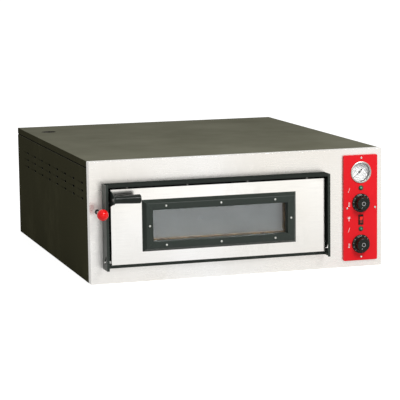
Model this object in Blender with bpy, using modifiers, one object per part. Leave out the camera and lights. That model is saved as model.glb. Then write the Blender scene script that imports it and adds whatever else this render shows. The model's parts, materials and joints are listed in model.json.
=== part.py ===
# Electric deck oven with a drop-down glass door, built as separate pieces.
# Metres, +Z up, front face towards -Y, origin at the middle of the base underside.
from math import cos, pi, radians, sin

import bmesh
import bpy
from mathutils import Matrix, Vector

MM = 0.001
GAP = 0.3 * MM

# ---- body ----
BODY_WIDTH = 975 * MM
BODY_DEPTH = 1100 * MM
BODY_HEIGHT = 385 * MM
SHEET = 1.5 * MM
FRONT_FLANGE = 30 * MM
COVER_SKIRT = 20.4 * MM
COVER_GAP = 3.6 * MM
SIDE_FLANGE = 10 * MM
BASE_LIP = 20 * MM

# ---- black surround round the door ----
SURROUND_DEPTH = 50 * MM
SURROUND_INSET = 28 * MM
SURROUND_SHEET = 2 * MM
SURROUND_LIP = 8 * MM
SURROUND_FLANGE = 6 * MM
SURROUND_LEFT_MARGIN = 42.8 * MM
SURROUND_RIGHT_MARGIN = 198.5 * MM
SURROUND_BASE_HEIGHT = 48 * MM
SURROUND_TOP_MARGIN = 69 * MM
SILL_HEIGHT = 13.2 * MM

# ---- door ----
DOOR_LEFT_CLEARANCE = 17.2 * MM
DOOR_RIGHT_CLEARANCE = 9.5 * MM
DOOR_BOTTOM_CLEARANCE = 15 * MM
DOOR_TOP_CLEARANCE = 15.5 * MM
DOOR_PROUD = 30 * MM
DOOR_THICKNESS = 38 * MM
DOOR_OUTER_DEPTH = 25 * MM
DOOR_INNER_SHEET = 1.2 * MM
PIN_RADIUS = 4 * MM
PIN_INSIDE_DOOR = 9.5 * MM
PIN_PAST_CHEEK = 3 * MM
PIN_DROP = 9 * MM
PIN_BEHIND_DOOR_FACE = 7 * MM
PIN_CLEARANCE = 0.5 * MM
SLOT_RUN = 15 * MM
SLOT_RISE = 18 * MM
DOOR_FILL_START = 21 * MM

# ---- window ----
WINDOW_SIDE_MARGIN = 100 * MM
WINDOW_END_MARGIN = 37.5 * MM
WINDOW_BORDER = 32 * MM
WINDOW_RISE = 16 * MM
WINDOW_BEVEL = 10 * MM
WINDOW_NECK = 3 * MM
GLASS_RECESS = 25 * MM
GLASS_THICKNESS = 4 * MM
GLASS_LAP = 6 * MM
SPACER_LIP = 4 * MM

# ---- handle ----
GRIP_REACH = 48 * MM
GRIP_LENGTH = 84 * MM
GRIP_RADIUS = 14.5 * MM
GRIP_NECK_RADIUS = 12 * MM
GRIP_BELOW_DOOR_TOP = 26 * MM
BRACKET_SHEET = 3 * MM
BRACKET_FOOT = 53 * MM
BRACKET_LAP = 22 * MM

# ---- chamber ----
CHAMBER_LEFT_MARGIN = 40.7 * MM
CHAMBER_RIGHT_MARGIN = 33 * MM
CHAMBER_FLOOR_MARGIN = 28 * MM
CHAMBER_CEILING_MARGIN = 64 * MM
CHAMBER_REAR_MARGIN = 96 * MM
MOUTH_SETBACK = 12 * MM
STONE_COUNT = 2
STONE_THICKNESS = 18 * MM
STONE_JOINT = 1 * MM
STONE_FRONT_CLEARANCE = 8 * MM
STONE_REAR_CLEARANCE = 14 * MM
RAIL_HEIGHT = 17.4 * MM
RAIL_WIDTH = 14 * MM
INSULATION = 48 * MM
ELEMENT_RADIUS = 4 * MM
ELEMENT_BEND = 50 * MM
ELEMENT_LIFT = 9 * MM
ELEMENT_DROP = 12 * MM
ELEMENT_FRONT_CLEARANCE = 60 * MM
ELEMENT_TAIL = 8 * MM
BASE_RAIL_WIDTH = 40 * MM
LAMP_FROM_MOUTH = 290 * MM
LAMP_BELOW_CEILING = 50 * MM
LAMP_RADIUS = 24 * MM
LAMP_CUP_RADIUS = 22 * MM
LAMP_FLANGE_RADIUS = 30 * MM

# ---- flue and damper ----
FLUE_SIDE_MARGIN = 75.5 * MM
FLUE_REAR_MARGIN = 185 * MM
FLUE_RADIUS = 25 * MM
FLUE_WALL = 1.2 * MM
FLUE_BOX_HALF = 40 * MM
FLUE_BOX_WIDTH = 40 * MM
FLUE_BOX_DROP = 62 * MM
FLUE_PORT_HALF = 23 * MM
FLUE_PORT_LOW = 56 * MM
FLUE_PORT_HIGH = 6 * MM
FLUE_DECK_HEIGHT = 18 * MM
FLUE_DECK_INSET = 1 * MM
ROD_SIDE_MARGIN = 24.5 * MM
ROD_BELOW_SURROUND_TOP = 87 * MM
ROD_RADIUS = 4 * MM
BALL_RADIUS = 17.8 * MM
BALL_REACH = 70 * MM
BALL_SOCKET = 5 * MM
GATE_SHEET = 1.5 * MM
GATE_LENGTH = 84 * MM
GATE_LAP = 12 * MM
GATE_PULL_OUT = 65 * MM

# ---- control panel ----
FASCIA_WIDTH = 117 * MM
FASCIA_RIGHT_MARGIN = 17.5 * MM
FASCIA_BASE_HEIGHT = 21.5 * MM
FASCIA_TOP_MARGIN = 19 * MM
FASCIA_RISE = 8 * MM
FASCIA_CORNER = 5 * MM
CONTROL_OFFSET = 1 * MM
GAUGE_BELOW_TOP = 56 * MM
UPPER_LAMP_BELOW_TOP = 107 * MM
UPPER_KNOB_BELOW_TOP = 156 * MM
SWITCH_ABOVE_BASE = 133.5 * MM
LOWER_LAMP_ABOVE_BASE = 104 * MM
LOWER_KNOB_ABOVE_BASE = 54 * MM
GAUGE_RADIUS = 35 * MM
GAUGE_CUP_RADIUS = 32 * MM
GAUGE_CUP_DEPTH = 16 * MM
NEEDLE_LENGTH = 23 * MM
KNOB_SKIRT_RADIUS = 30.5 * MM
KNOB_CAP_RADIUS = 21.5 * MM
KNOB_HEIGHT = 28 * MM
SHAFT_RADIUS = 3 * MM
LAMP_LENS_RADIUS = 6.5 * MM
LAMP_BODY_RADIUS = 5 * MM
THERMOSTAT_SIZE = 40 * MM
THERMOSTAT_DEPTH = 34 * MM
SWITCH_WIDTH = 17 * MM
SWITCH_HEIGHT = 33 * MM
SWITCH_BODY_INSET = 2 * MM
ROCKER_WIDTH = 9.6 * MM
ROCKER_HEIGHT = 22 * MM
ROCKER_TILT = radians(8)

# ---- ventilation, wiring ----
VENT_COLUMNS = 8
VENT_ROWS = 3
VENT_LENGTH = 30 * MM
VENT_HEIGHT = 7 * MM
VENT_END_MARGIN = 80 * MM
VENT_REAR_MARGIN = 158 * MM
VENT_ROW_PITCH = 24.8 * MM
VENT_TOP_MARGIN = 75.5 * MM
PARTITION_OFFSET = 20 * MM
GLAND_SIDE_MARGIN = 80 * MM
GLAND_HEIGHT = 55 * MM
GLAND_RADIUS = 10 * MM
GLAND_NUT_RADIUS = 14 * MM
TERMINAL_FROM_REAR = 110 * MM
TERMINAL_SIZE = (60 * MM, 40 * MM, 30 * MM)

# ---- places worked out from the sizes above ----
front = -BODY_DEPTH / 2
back = BODY_DEPTH / 2
side = BODY_WIDTH / 2
cheek_left = -side + SURROUND_LEFT_MARGIN
cheek_right = side - SURROUND_RIGHT_MARGIN
surround_low = SURROUND_BASE_HEIGHT
surround_high = BODY_HEIGHT - SURROUND_TOP_MARGIN
side_panel_top = BODY_HEIGHT - COVER_SKIRT - COVER_GAP
inner_front = front + FRONT_FLANGE + GAP
rear_sheet_front = back - SHEET

door_left = cheek_left + DOOR_LEFT_CLEARANCE
door_right = cheek_right - DOOR_RIGHT_CLEARANCE
door_low = surround_low + DOOR_BOTTOM_CLEARANCE
door_high = surround_high - DOOR_TOP_CLEARANCE
door_face = front - DOOR_PROUD
door_rear = door_face + DOOR_THICKNESS
door_split = door_face + DOOR_OUTER_DEPTH
door_middle = (door_left + door_right) / 2
pin_y = door_face + PIN_BEHIND_DOOR_FACE
pin_z = door_low + PIN_DROP

window_z = (door_low + door_high) / 2
window_face = door_face - WINDOW_RISE
aperture_half_width = (door_right - door_left) / 2 - WINDOW_SIDE_MARGIN - WINDOW_BORDER
aperture_half_height = (door_high - door_low) / 2 - WINDOW_END_MARGIN - WINDOW_BORDER
outer_glass_front = window_face + GLASS_RECESS
inner_glass_rear = door_rear - DOOR_INNER_SHEET - GAP

grip_y = door_face - GRIP_REACH
grip_z = door_high - GRIP_BELOW_DOOR_TOP

chamber_left = cheek_left + CHAMBER_LEFT_MARGIN
chamber_right = cheek_right - CHAMBER_RIGHT_MARGIN
chamber_floor = surround_low + CHAMBER_FLOOR_MARGIN
chamber_ceiling = surround_high - CHAMBER_CEILING_MARGIN
mouth_front = front + MOUTH_SETBACK
chamber_front = mouth_front + SHEET + GAP
chamber_back = back - CHAMBER_REAR_MARGIN
chamber_low_out = Vector((chamber_left - SHEET, chamber_front, chamber_floor - SHEET))
chamber_high_out = Vector((chamber_right + SHEET, chamber_back + SHEET, chamber_ceiling + SHEET))
fill_low = chamber_low_out - Vector((INSULATION, 0, INSULATION))
fill_high = chamber_high_out + Vector((INSULATION, INSULATION, INSULATION))
bay_width = (chamber_right - chamber_left) / STONE_COUNT
rail_top = chamber_floor + GAP + RAIL_HEIGHT
lamp_y = chamber_front + LAMP_FROM_MOUTH
lamp_z = chamber_ceiling - LAMP_BELOW_CEILING

flue_x = -side + FLUE_SIDE_MARGIN
flue_y = back - FLUE_REAR_MARGIN
flue_box_right = chamber_low_out.x - GAP
flue_box_left = flue_box_right - FLUE_BOX_WIDTH
flue_box_low = chamber_ceiling - FLUE_BOX_DROP
flue_deck = chamber_high_out.z + 2 * GAP
flue_deck_high = flue_deck + FLUE_DECK_HEIGHT
rod_x = -side + ROD_SIDE_MARGIN
rod_z = surround_high - ROD_BELOW_SURROUND_TOP
ball_y = front - BALL_REACH
gate_right = flue_box_right - GATE_SHEET
gate_left = gate_right - GATE_SHEET
gate_back = flue_y + FLUE_PORT_HALF + GATE_LAP
gate_front = gate_back - GATE_LENGTH
port_low = chamber_ceiling - FLUE_PORT_LOW
port_high = chamber_ceiling - FLUE_PORT_HIGH

fascia_right = side - FASCIA_RIGHT_MARGIN
fascia_left = fascia_right - FASCIA_WIDTH
fascia_low = FASCIA_BASE_HEIGHT
fascia_high = BODY_HEIGHT - FASCIA_TOP_MARGIN
fascia_face = front - FASCIA_RISE
control_x = (fascia_left + fascia_right) / 2 + CONTROL_OFFSET
gauge_z = fascia_high - GAUGE_BELOW_TOP
upper_lamp_z = fascia_high - UPPER_LAMP_BELOW_TOP
upper_knob_z = fascia_high - UPPER_KNOB_BELOW_TOP
switch_z = fascia_low + SWITCH_ABOVE_BASE
lower_lamp_z = fascia_low + LOWER_LAMP_ABOVE_BASE
lower_knob_z = fascia_low + LOWER_KNOB_ABOVE_BASE
switch_body_half_width = SWITCH_WIDTH / 2 - SWITCH_BODY_INSET / 2
switch_body_half_height = SWITCH_HEIGHT / 2 - SWITCH_BODY_INSET
gland_x = side - GLAND_SIDE_MARGIN
partition_x = cheek_right + PARTITION_OFFSET

# colour, metallic, roughness
FINISHES = {
    "steel": ((0.75, 0.75, 0.73), 1.0, 0.28),
    "galvanised": ((0.55, 0.56, 0.56), 1.0, 0.45),
    "olive paint": ((0.045, 0.045, 0.032), 0.0, 0.45),
    "black enamel": ((0.02, 0.023, 0.022), 0.0, 0.3),
    "red paint": ((0.85, 0.012, 0.02), 0.0, 0.35),
    "red plastic": ((0.75, 0.01, 0.01), 0.0, 0.2),
    "black plastic": ((0.015, 0.015, 0.015), 0.0, 0.35),
    "green lens": ((0.02, 0.35, 0.16), 0.0, 0.15),
    "white dial": ((0.9, 0.9, 0.9), 0.0, 0.4),
    "glass": ((0.55, 0.6, 0.6), 0.0, 0.05),
    "stone": ((0.62, 0.52, 0.4), 0.0, 0.9),
    "wool": ((0.75, 0.68, 0.5), 0.0, 1.0),
    "element": ((0.12, 0.12, 0.12), 1.0, 0.5),
}


def start_clean():
    for old in list(bpy.data.objects):
        bpy.data.objects.remove(old, do_unlink=True)
    for name in ("deck_oven", "cutters"):
        group = bpy.data.collections.new(name)
        bpy.context.scene.collection.children.link(group)
    return bpy.data.collections["deck_oven"], bpy.data.collections["cutters"]


parts, cutters = start_clean()


def place(name, mesh, finish):
    """A part in its own material, or a hidden cutter when finish is None."""
    piece = bpy.data.objects.new(name, mesh)
    if finish is None:
        cutters.objects.link(piece)
        piece.hide_render = True
        piece.display_type = "WIRE"
        return piece
    parts.objects.link(piece)
    colour, metallic, roughness = FINISHES[finish]
    material = bpy.data.materials.new(name)
    material.use_nodes = True
    shader = material.node_tree.nodes["Principled BSDF"]
    shader.inputs["Base Color"].default_value = (*colour, 1)
    shader.inputs["Metallic"].default_value = metallic
    shader.inputs["Roughness"].default_value = roughness
    mesh.materials.append(material)
    return piece


def box(name, low, high, finish=None):
    """A cuboid between two corners."""
    low, high = Vector(low), Vector(high)
    shape = bmesh.new()
    bmesh.ops.create_cube(shape, size=1)
    bmesh.ops.scale(shape, vec=high - low, verts=shape.verts)
    bmesh.ops.translate(shape, vec=(low + high) / 2, verts=shape.verts)
    mesh = bpy.data.meshes.new(name)
    shape.to_mesh(mesh)
    shape.free()
    return place(name, mesh, finish)


def pan(name, low, high, open_side, finish, sheet=SHEET):
    """A folded sheet-metal pan: a cuboid's skin without its open side, thickened inwards."""
    piece = box(name, low, high, finish)
    shape = bmesh.new()
    shape.from_mesh(piece.data)
    shape.normal_update()
    open_faces = [face for face in shape.faces if face.normal.dot(Vector(open_side)) > 0.9]
    bmesh.ops.delete(shape, geom=open_faces, context="FACES_ONLY")
    shape.to_mesh(piece.data)
    shape.free()
    skin = piece.modifiers.new("sheet", "SOLIDIFY")
    skin.thickness = sheet
    skin.offset = -1
    skin.use_even_offset = True
    return piece


def turned(name, profile, centre, direction, finish=None, steps=32):
    """A turned piece: (radius, height) points from the top down its outer side."""
    mesh = bpy.data.meshes.new(name)
    points = [(radius, 0, height) for radius, height in profile]
    mesh.from_pydata(points, [(i, i + 1) for i in range(len(points) - 1)], [])
    piece = place(name, mesh, finish)
    lathe = piece.modifiers.new("lathe", "SCREW")
    lathe.steps = lathe.render_steps = steps
    lathe.use_merge_vertices = True
    lathe.merge_threshold = 0.00001
    lathe.use_smooth_shade = True
    piece.location = centre
    piece.rotation_mode = "QUATERNION"
    piece.rotation_quaternion = Vector((0, 0, 1)).rotation_difference(Vector(direction))
    return piece


def rods(name, radius, ends, finish=None, sides=24):
    """Straight round bars, each between two points, in one mesh."""
    shape = bmesh.new()
    for start, end in ends:
        start, end = Vector(start), Vector(end)
        turn = (end - start).to_track_quat("Z", "Y").to_matrix().to_4x4()
        place_at = Matrix.Translation((start + end) / 2) @ turn
        bmesh.ops.create_cone(shape, cap_ends=True, segments=sides, radius1=radius, radius2=radius,
                              depth=(end - start).length, matrix=place_at)
    mesh = bpy.data.meshes.new(name)
    shape.to_mesh(mesh)
    shape.free()
    mesh.shade_smooth()
    mesh.set_sharp_from_angle(angle=radians(35))
    return place(name, mesh, finish)


ALONG_X = Matrix(((0, 0, 1), (1, 0, 0), (0, 1, 0)))  # outline in Y and Z, thickness along X
ALONG_Y = Matrix(((1, 0, 0), (0, 0, -1), (0, 1, 0)))  # outline in X and Z, thickness along -Y


def flat(name, outlines, start, end, plane, finish=None):
    """Flat outlines given thickness from start to end along X or Y, made a closed mesh."""
    curve = bpy.data.curves.new(name, "CURVE")
    curve.dimensions = "2D"
    curve.fill_mode = "BOTH"
    curve.extrude = abs(end - start) / 2
    for outline in outlines:
        spline = curve.splines.new("POLY")
        spline.points.add(len(outline) - 1)
        for point, (across, up) in zip(spline.points, outline):
            point.co = (across, up, 0, 1)
        spline.use_cyclic_u = True
    guide = bpy.data.objects.new(name, curve)
    cutters.objects.link(guide)
    offset = plane @ Vector((0, 0, 1))
    middle = (start + end) / 2
    guide.matrix_world = Matrix.Translation(Vector(map(abs, offset)) * middle) @ plane.to_4x4()
    bpy.context.view_layer.update()
    evaluated = guide.evaluated_get(bpy.context.evaluated_depsgraph_get())
    mesh = bpy.data.meshes.new_from_object(evaluated)
    mesh.transform(guide.matrix_world)
    bpy.data.objects.remove(guide, do_unlink=True)
    bpy.data.curves.remove(curve)
    shape = bmesh.new()
    shape.from_mesh(mesh)
    bmesh.ops.remove_doubles(shape, verts=shape.verts, dist=0.00001)
    bmesh.ops.recalc_face_normals(shape, faces=shape.faces)
    shape.to_mesh(mesh)
    shape.free()
    mesh.materials.clear()
    mesh.name = name
    return place(name, mesh, finish)


def arc(centre, radius, first, last, count):
    """Points on an arc, angles in degrees."""
    turns = [radians(first + (last - first) * i / (count - 1)) for i in range(count)]
    return [(centre[0] + radius * cos(t), centre[1] + radius * sin(t)) for t in turns]


def stadium(start, end, radius, count=5):
    """A slot's outline round the line from start to end."""
    heading = Vector((end[0] - start[0], end[1] - start[1])).angle_signed(Vector((1, 0))) * 180 / pi
    return (arc(start, radius, heading + 90, heading + 270, count)
            + arc(end, radius, heading - 90, heading + 90, count))


def rounded(left, right, low, high, radius, count=4):
    """A rectangle's outline with round corners."""
    return (arc((right - radius, low + radius), radius, -90, 0, count)
            + arc((right - radius, high - radius), radius, 0, 90, count)
            + arc((left + radius, high - radius), radius, 90, 180, count)
            + arc((left + radius, low + radius), radius, 180, 270, count))


def change(piece, how, *tools):
    for tool in tools:
        step = piece.modifiers.new(tool.name, "BOOLEAN")
        step.operation = how
        step.solver = "EXACT"
        step.object = tool


def cut(piece, *tools):
    change(piece, "DIFFERENCE", *tools)


def join(piece, *tools):
    change(piece, "UNION", *tools)


def ease(piece, width, segments=2, angle=40):
    """Rounded edges."""
    edge = piece.modifiers.new("edges", "BEVEL")
    edge.width = width
    edge.segments = segments
    edge.limit_method = "ANGLE"
    edge.angle_limit = radians(angle)


def carry(name, centre, *pieces):
    """An empty on a joint's axis that carries the moving pieces."""
    pivot = bpy.data.objects.new(name, None)
    pivot.location = centre
    parts.objects.link(pivot)
    bpy.context.view_layer.update()
    for piece in pieces:
        piece.parent = pivot
        piece.matrix_parent_inverse = pivot.matrix_world.inverted()


def forward(depth):
    """Y of a place this far behind the front face."""
    return front + depth


# ---- outer body ----
def build_front_panel():
    panel = pan("front_panel", (-side, front, 0), (side, forward(FRONT_FLANGE), BODY_HEIGHT),
                (0, 1, 0), "steel")
    gap_round_cheek = SURROUND_SHEET + GAP
    mouth = box("cut_mouth", (cheek_left - gap_round_cheek, forward(-0.01), surround_low - GAP),
                (cheek_right + gap_round_cheek, forward(0.01), surround_high + GAP))
    deep = 10 * MM
    gauge_hole = rods("cut_gauge_hole", GAUGE_CUP_RADIUS + 1 * MM,
                      [((control_x, front - deep, gauge_z), (control_x, front + deep, gauge_z))], sides=32)
    shaft_holes = rods("cut_shaft_holes", SHAFT_RADIUS + 1 * MM,
                       [((control_x, front - deep, z), (control_x, front + deep, z))
                        for z in (upper_knob_z, lower_knob_z)], sides=12)
    lamp_holes = rods("cut_lamp_holes", LAMP_BODY_RADIUS + 2 * GAP,
                      [((control_x, front - deep, z), (control_x, front + deep, z))
                       for z in (upper_lamp_z, lower_lamp_z)], sides=16)
    switch_hole = box("cut_switch_hole",
                      (control_x - switch_body_half_width - GAP, front - deep,
                       switch_z - switch_body_half_height - GAP),
                      (control_x + switch_body_half_width + GAP, front + deep,
                       switch_z + switch_body_half_height + GAP))
    rod_hole = rods("cut_rod_hole", ROD_RADIUS + 2 * GAP,
                    [((rod_x, front - deep, rod_z), (rod_x, front + deep, rod_z))], sides=16)
    cut(panel, mouth, gauge_hole, shaft_holes, lamp_holes, switch_hole, rod_hole)


def build_covers():
    cover_low = BODY_HEIGHT - COVER_SKIRT
    cover = pan("top_cover", (-side, inner_front, cover_low), (side, back, BODY_HEIGHT),
                (0, 0, -1), "olive paint")
    flue_hole = rods("cut_flue_hole", FLUE_RADIUS + 1 * MM,
                     [((flue_x, flue_y, cover_low), (flue_x, flue_y, BODY_HEIGHT + 10 * MM))], sides=32)
    cut(cover, flue_hole)

    panel_back = rear_sheet_front - GAP
    first_vent = forward(VENT_END_MARGIN)
    vent_step = (BODY_DEPTH - VENT_END_MARGIN - VENT_REAR_MARGIN - VENT_LENGTH) / (VENT_COLUMNS - 1)
    outlines = []
    for row in range(VENT_ROWS):
        up = BODY_HEIGHT - VENT_TOP_MARGIN - row * VENT_ROW_PITCH
        for column in range(VENT_COLUMNS):
            start = first_vent + column * vent_step + VENT_HEIGHT / 2
            end = start + VENT_LENGTH - VENT_HEIGHT
            outlines.append(stadium((start, up), (end, up), VENT_HEIGHT / 2))
    for name, outer, inward in (("left_side_panel", -side, 1), ("right_side_panel", side, -1)):
        inner = outer + inward * SIDE_FLANGE
        panel = pan(name, (min(outer, inner), inner_front, 0),
                    (max(outer, inner), panel_back, side_panel_top), (inward, 0, 0), "olive paint")
        vents = flat("cut_vents_" + name, outlines, outer - 5 * MM, outer + 5 * MM, ALONG_X)
        cut(panel, vents)

    rear = box("rear_panel", (-side, rear_sheet_front, 0), (side, back, side_panel_top), "olive paint")
    gland_line = ((gland_x, back - 10 * MM, GLAND_HEIGHT), (gland_x, back + 10 * MM, GLAND_HEIGHT))
    gland_hole = rods("cut_gland_hole", GLAND_RADIUS + GAP, [gland_line])
    cut(rear, gland_hole)

    edge = side - SIDE_FLANGE - GAP
    pan("base_pan", (-edge, inner_front, 0), (edge, panel_back, BASE_LIP), (0, 0, 1), "galvanised")


def build_inner_frame():
    floor = SHEET + GAP
    rail_front = chamber_front + INSULATION
    rail_back = fill_high.y - INSULATION
    for name, centre in (("base_rail_left", chamber_left), ("base_rail_right", chamber_right)):
        inward = BASE_RAIL_WIDTH / 2
        pan(name, (centre - inward, rail_front, floor), (centre + inward, rail_back, fill_low.z - GAP),
            (0, 0, -1), "galvanised")
    within_lip = SHEET + GAP
    box("partition_wall", (partition_x, inner_front + within_lip, floor),
        (partition_x + SHEET, rear_sheet_front - GAP - within_lip, BODY_HEIGHT - within_lip), "galvanised")


# ---- surround and mouth ----
def build_surround():
    depth_front = front - SURROUND_DEPTH
    depth_back = front + SURROUND_INSET
    thin = SURROUND_SHEET
    slot = stadium((pin_y, pin_z), (pin_y - SLOT_RUN, pin_z + SLOT_RISE), PIN_RADIUS + PIN_CLEARANCE, 7)
    for name, inner, outward in (("surround_left", cheek_left, -1), ("surround_right", cheek_right, 1)):
        outer = inner + outward * SURROUND_SHEET
        cheek = box(name, (min(inner, outer), depth_front, surround_low),
                    (max(inner, outer), depth_back, surround_high), "black enamel")
        edge = inner - outward * SURROUND_FLANGE
        middle = inner + outward * thin / 2
        flange = box("join_flange_" + name, (min(middle, edge), depth_front, surround_low),
                     (max(middle, edge), depth_front + thin, surround_high))
        hinge_slot = flat("cut_slot_" + name, [slot], inner - 4 * MM, inner + 4 * MM, ALONG_X)
        join(cheek, flange)
        cut(cheek, hinge_slot)
    top_outline = [(depth_front, surround_high), (depth_front, surround_high - SURROUND_LIP),
                   (depth_front + thin, surround_high - SURROUND_LIP),
                   (depth_front + thin, surround_high - thin),
                   (depth_back, surround_high - thin), (depth_back, surround_high)]
    sill_top = surround_low + SILL_HEIGHT
    sill_outline = [(front, surround_low), (front + thin, surround_low), (front + thin, sill_top - thin),
                    (depth_back, sill_top - thin), (depth_back, sill_top), (front, sill_top)]
    for name, outline in (("surround_top", top_outline), ("surround_sill", sill_outline)):
        piece = flat(name, [outline], cheek_left + GAP, cheek_right - GAP, ALONG_X, "black enamel")
        if name == "surround_top":
            flange_back = depth_front + thin + GAP
            for end, edge in ((cheek_left, SURROUND_FLANGE + GAP), (cheek_right, -SURROUND_FLANGE - GAP)):
                cut(piece, box("cut_flange_room", (min(end, end + edge), depth_front - 0.01, surround_low),
                               (max(end, end + edge), flange_back, surround_high + 0.01)))
    plate = box("mouth_plate", (cheek_left + GAP, mouth_front, sill_top + GAP),
                (cheek_right - GAP, mouth_front + SHEET, surround_high - thin - GAP), "black enamel")
    mouth = box("cut_mouth_opening", (chamber_left, mouth_front - 0.01, chamber_floor),
                (chamber_right, mouth_front + 0.01, chamber_ceiling))
    cut(plate, mouth)


# ---- chamber ----
def element_rows():
    """Each heating element's bay centre and height."""
    centres = [chamber_left + bay_width * (i + 0.5) for i in range(STONE_COUNT)]
    lower = [("lower_element_%d" % (i + 1), x, chamber_floor + ELEMENT_LIFT) for i, x in enumerate(centres)]
    upper = [("upper_element_%d" % (i + 1), x, chamber_ceiling - ELEMENT_DROP) for i, x in enumerate(centres)]
    return lower + upper


def build_chamber():
    shell = pan("chamber_shell", chamber_low_out, chamber_high_out, (0, -1, 0), "steel")
    tail = fill_high.y + ELEMENT_TAIL
    tails = []
    for _, x, z in element_rows():
        for leg in (-ELEMENT_BEND, ELEMENT_BEND):
            tails.append(((x + leg, chamber_back - 0.01, z), (x + leg, tail, z)))
    tail_holes = rods("cut_element_holes", ELEMENT_RADIUS + GAP * 1.2, tails, sides=12)
    port = box("cut_flue_port", (chamber_left - 0.01, flue_y - FLUE_PORT_HALF, port_low),
               (chamber_left + 0.01, flue_y + FLUE_PORT_HALF, port_high))
    lamp_hole = rods("cut_lamp_port", LAMP_RADIUS + 2 * GAP,
                     [((chamber_right - 0.01, lamp_y, lamp_z), (chamber_right + 0.01, lamp_y, lamp_z))])
    cut(shell, tail_holes, port, lamp_hole)

    blanket_front = chamber_front + SURROUND_INSET
    blanket = box("insulation_blanket", (fill_low.x, blanket_front, fill_low.z), fill_high, "wool")
    clear = Vector((GAP, 0, GAP))
    room = box("cut_chamber_room", chamber_low_out - clear - Vector((0, 0.1, 0)),
               chamber_high_out + clear + Vector((0, GAP, 0)))
    arm_front = gate_front - GATE_PULL_OUT
    gate_notch = box("cut_gate_notch", (fill_low.x - 0.01, arm_front - 20 * MM, flue_box_low - 6 * MM),
                     (chamber_left, flue_y + FLUE_BOX_HALF + 10 * MM, flue_deck_high))
    pipe_notch = box("cut_pipe_notch", (fill_low.x - 0.01, flue_y - FLUE_BOX_HALF - 5 * MM, chamber_ceiling),
                     (flue_x + FLUE_RADIUS + 12 * MM, flue_y + FLUE_BOX_HALF + 5 * MM, fill_high.z + 0.01))
    lamp_room = rods("cut_lamp_room", LAMP_FLANGE_RADIUS + 1 * MM,
                     [((chamber_right, lamp_y, lamp_z), (fill_high.x + 0.01, lamp_y, lamp_z))])
    cut(blanket, room, gate_notch, pipe_notch, lamp_room, tail_holes)


def build_stones():
    stone_front = chamber_front + STONE_FRONT_CLEARANCE
    stone_back = chamber_back - STONE_REAR_CLEARANCE
    half = RAIL_WIDTH / 2
    centres = [chamber_left + GAP + half, *[chamber_left + bay_width * i for i in range(1, STONE_COUNT)],
               chamber_right - GAP - half]
    for i, x in enumerate(centres):
        pan("stone_rail_%d" % (i + 1), (x - half, stone_front + 10 * MM, chamber_floor + GAP),
            (x + half, stone_back - 5 * MM, rail_top), (0, 0, -1), "steel")
    for i in range(STONE_COUNT):
        left = chamber_left + bay_width * i + STONE_JOINT / 2
        stone = box("baking_stone_%d" % (i + 1), (left, stone_front, rail_top + GAP),
                    (left + bay_width - STONE_JOINT, stone_back, rail_top + GAP + STONE_THICKNESS), "stone")
        ease(stone, 2 * MM, 1)


def build_elements():
    start = fill_high.y + ELEMENT_TAIL
    turn_y = chamber_front + ELEMENT_FRONT_CLEARANCE + ELEMENT_BEND
    for name, x, z in element_rows():
        bend = arc((x, turn_y), ELEMENT_BEND, 0, -180, 11)
        route = [(x + ELEMENT_BEND, start), *bend, (x - ELEMENT_BEND, start)]
        curve = bpy.data.curves.new(name, "CURVE")
        curve.dimensions = "3D"
        curve.bevel_depth = ELEMENT_RADIUS
        curve.bevel_resolution = 2
        curve.use_fill_caps = True
        spline = curve.splines.new("POLY")
        spline.points.add(len(route) - 1)
        for point, (across, along) in zip(spline.points, route):
            point.co = (across, along, z, 1)
        place(name, curve, "element")


def build_chamber_lamp():
    seat = chamber_right + 3 * MM
    cup_end = fill_high.x - seat
    wall = 1.2 * MM
    glass = [(0, 3 * MM), (LAMP_RADIUS, 3 * MM), (LAMP_RADIUS, 0), (0, 0)]
    turned("chamber_lamp_glass", glass, (chamber_right, lamp_y, lamp_z), (1, 0, 0), "glass")
    cup = [(0, cup_end), (LAMP_CUP_RADIUS, cup_end), (LAMP_CUP_RADIUS, GAP + wall),
           (LAMP_FLANGE_RADIUS, GAP + wall), (LAMP_FLANGE_RADIUS, GAP), (LAMP_CUP_RADIUS - wall, GAP),
           (LAMP_CUP_RADIUS - wall, cup_end - wall), (0, cup_end - wall)]
    turned("chamber_lamp_housing", cup, (seat, lamp_y, lamp_z), (1, 0, 0), "galvanised")


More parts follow.
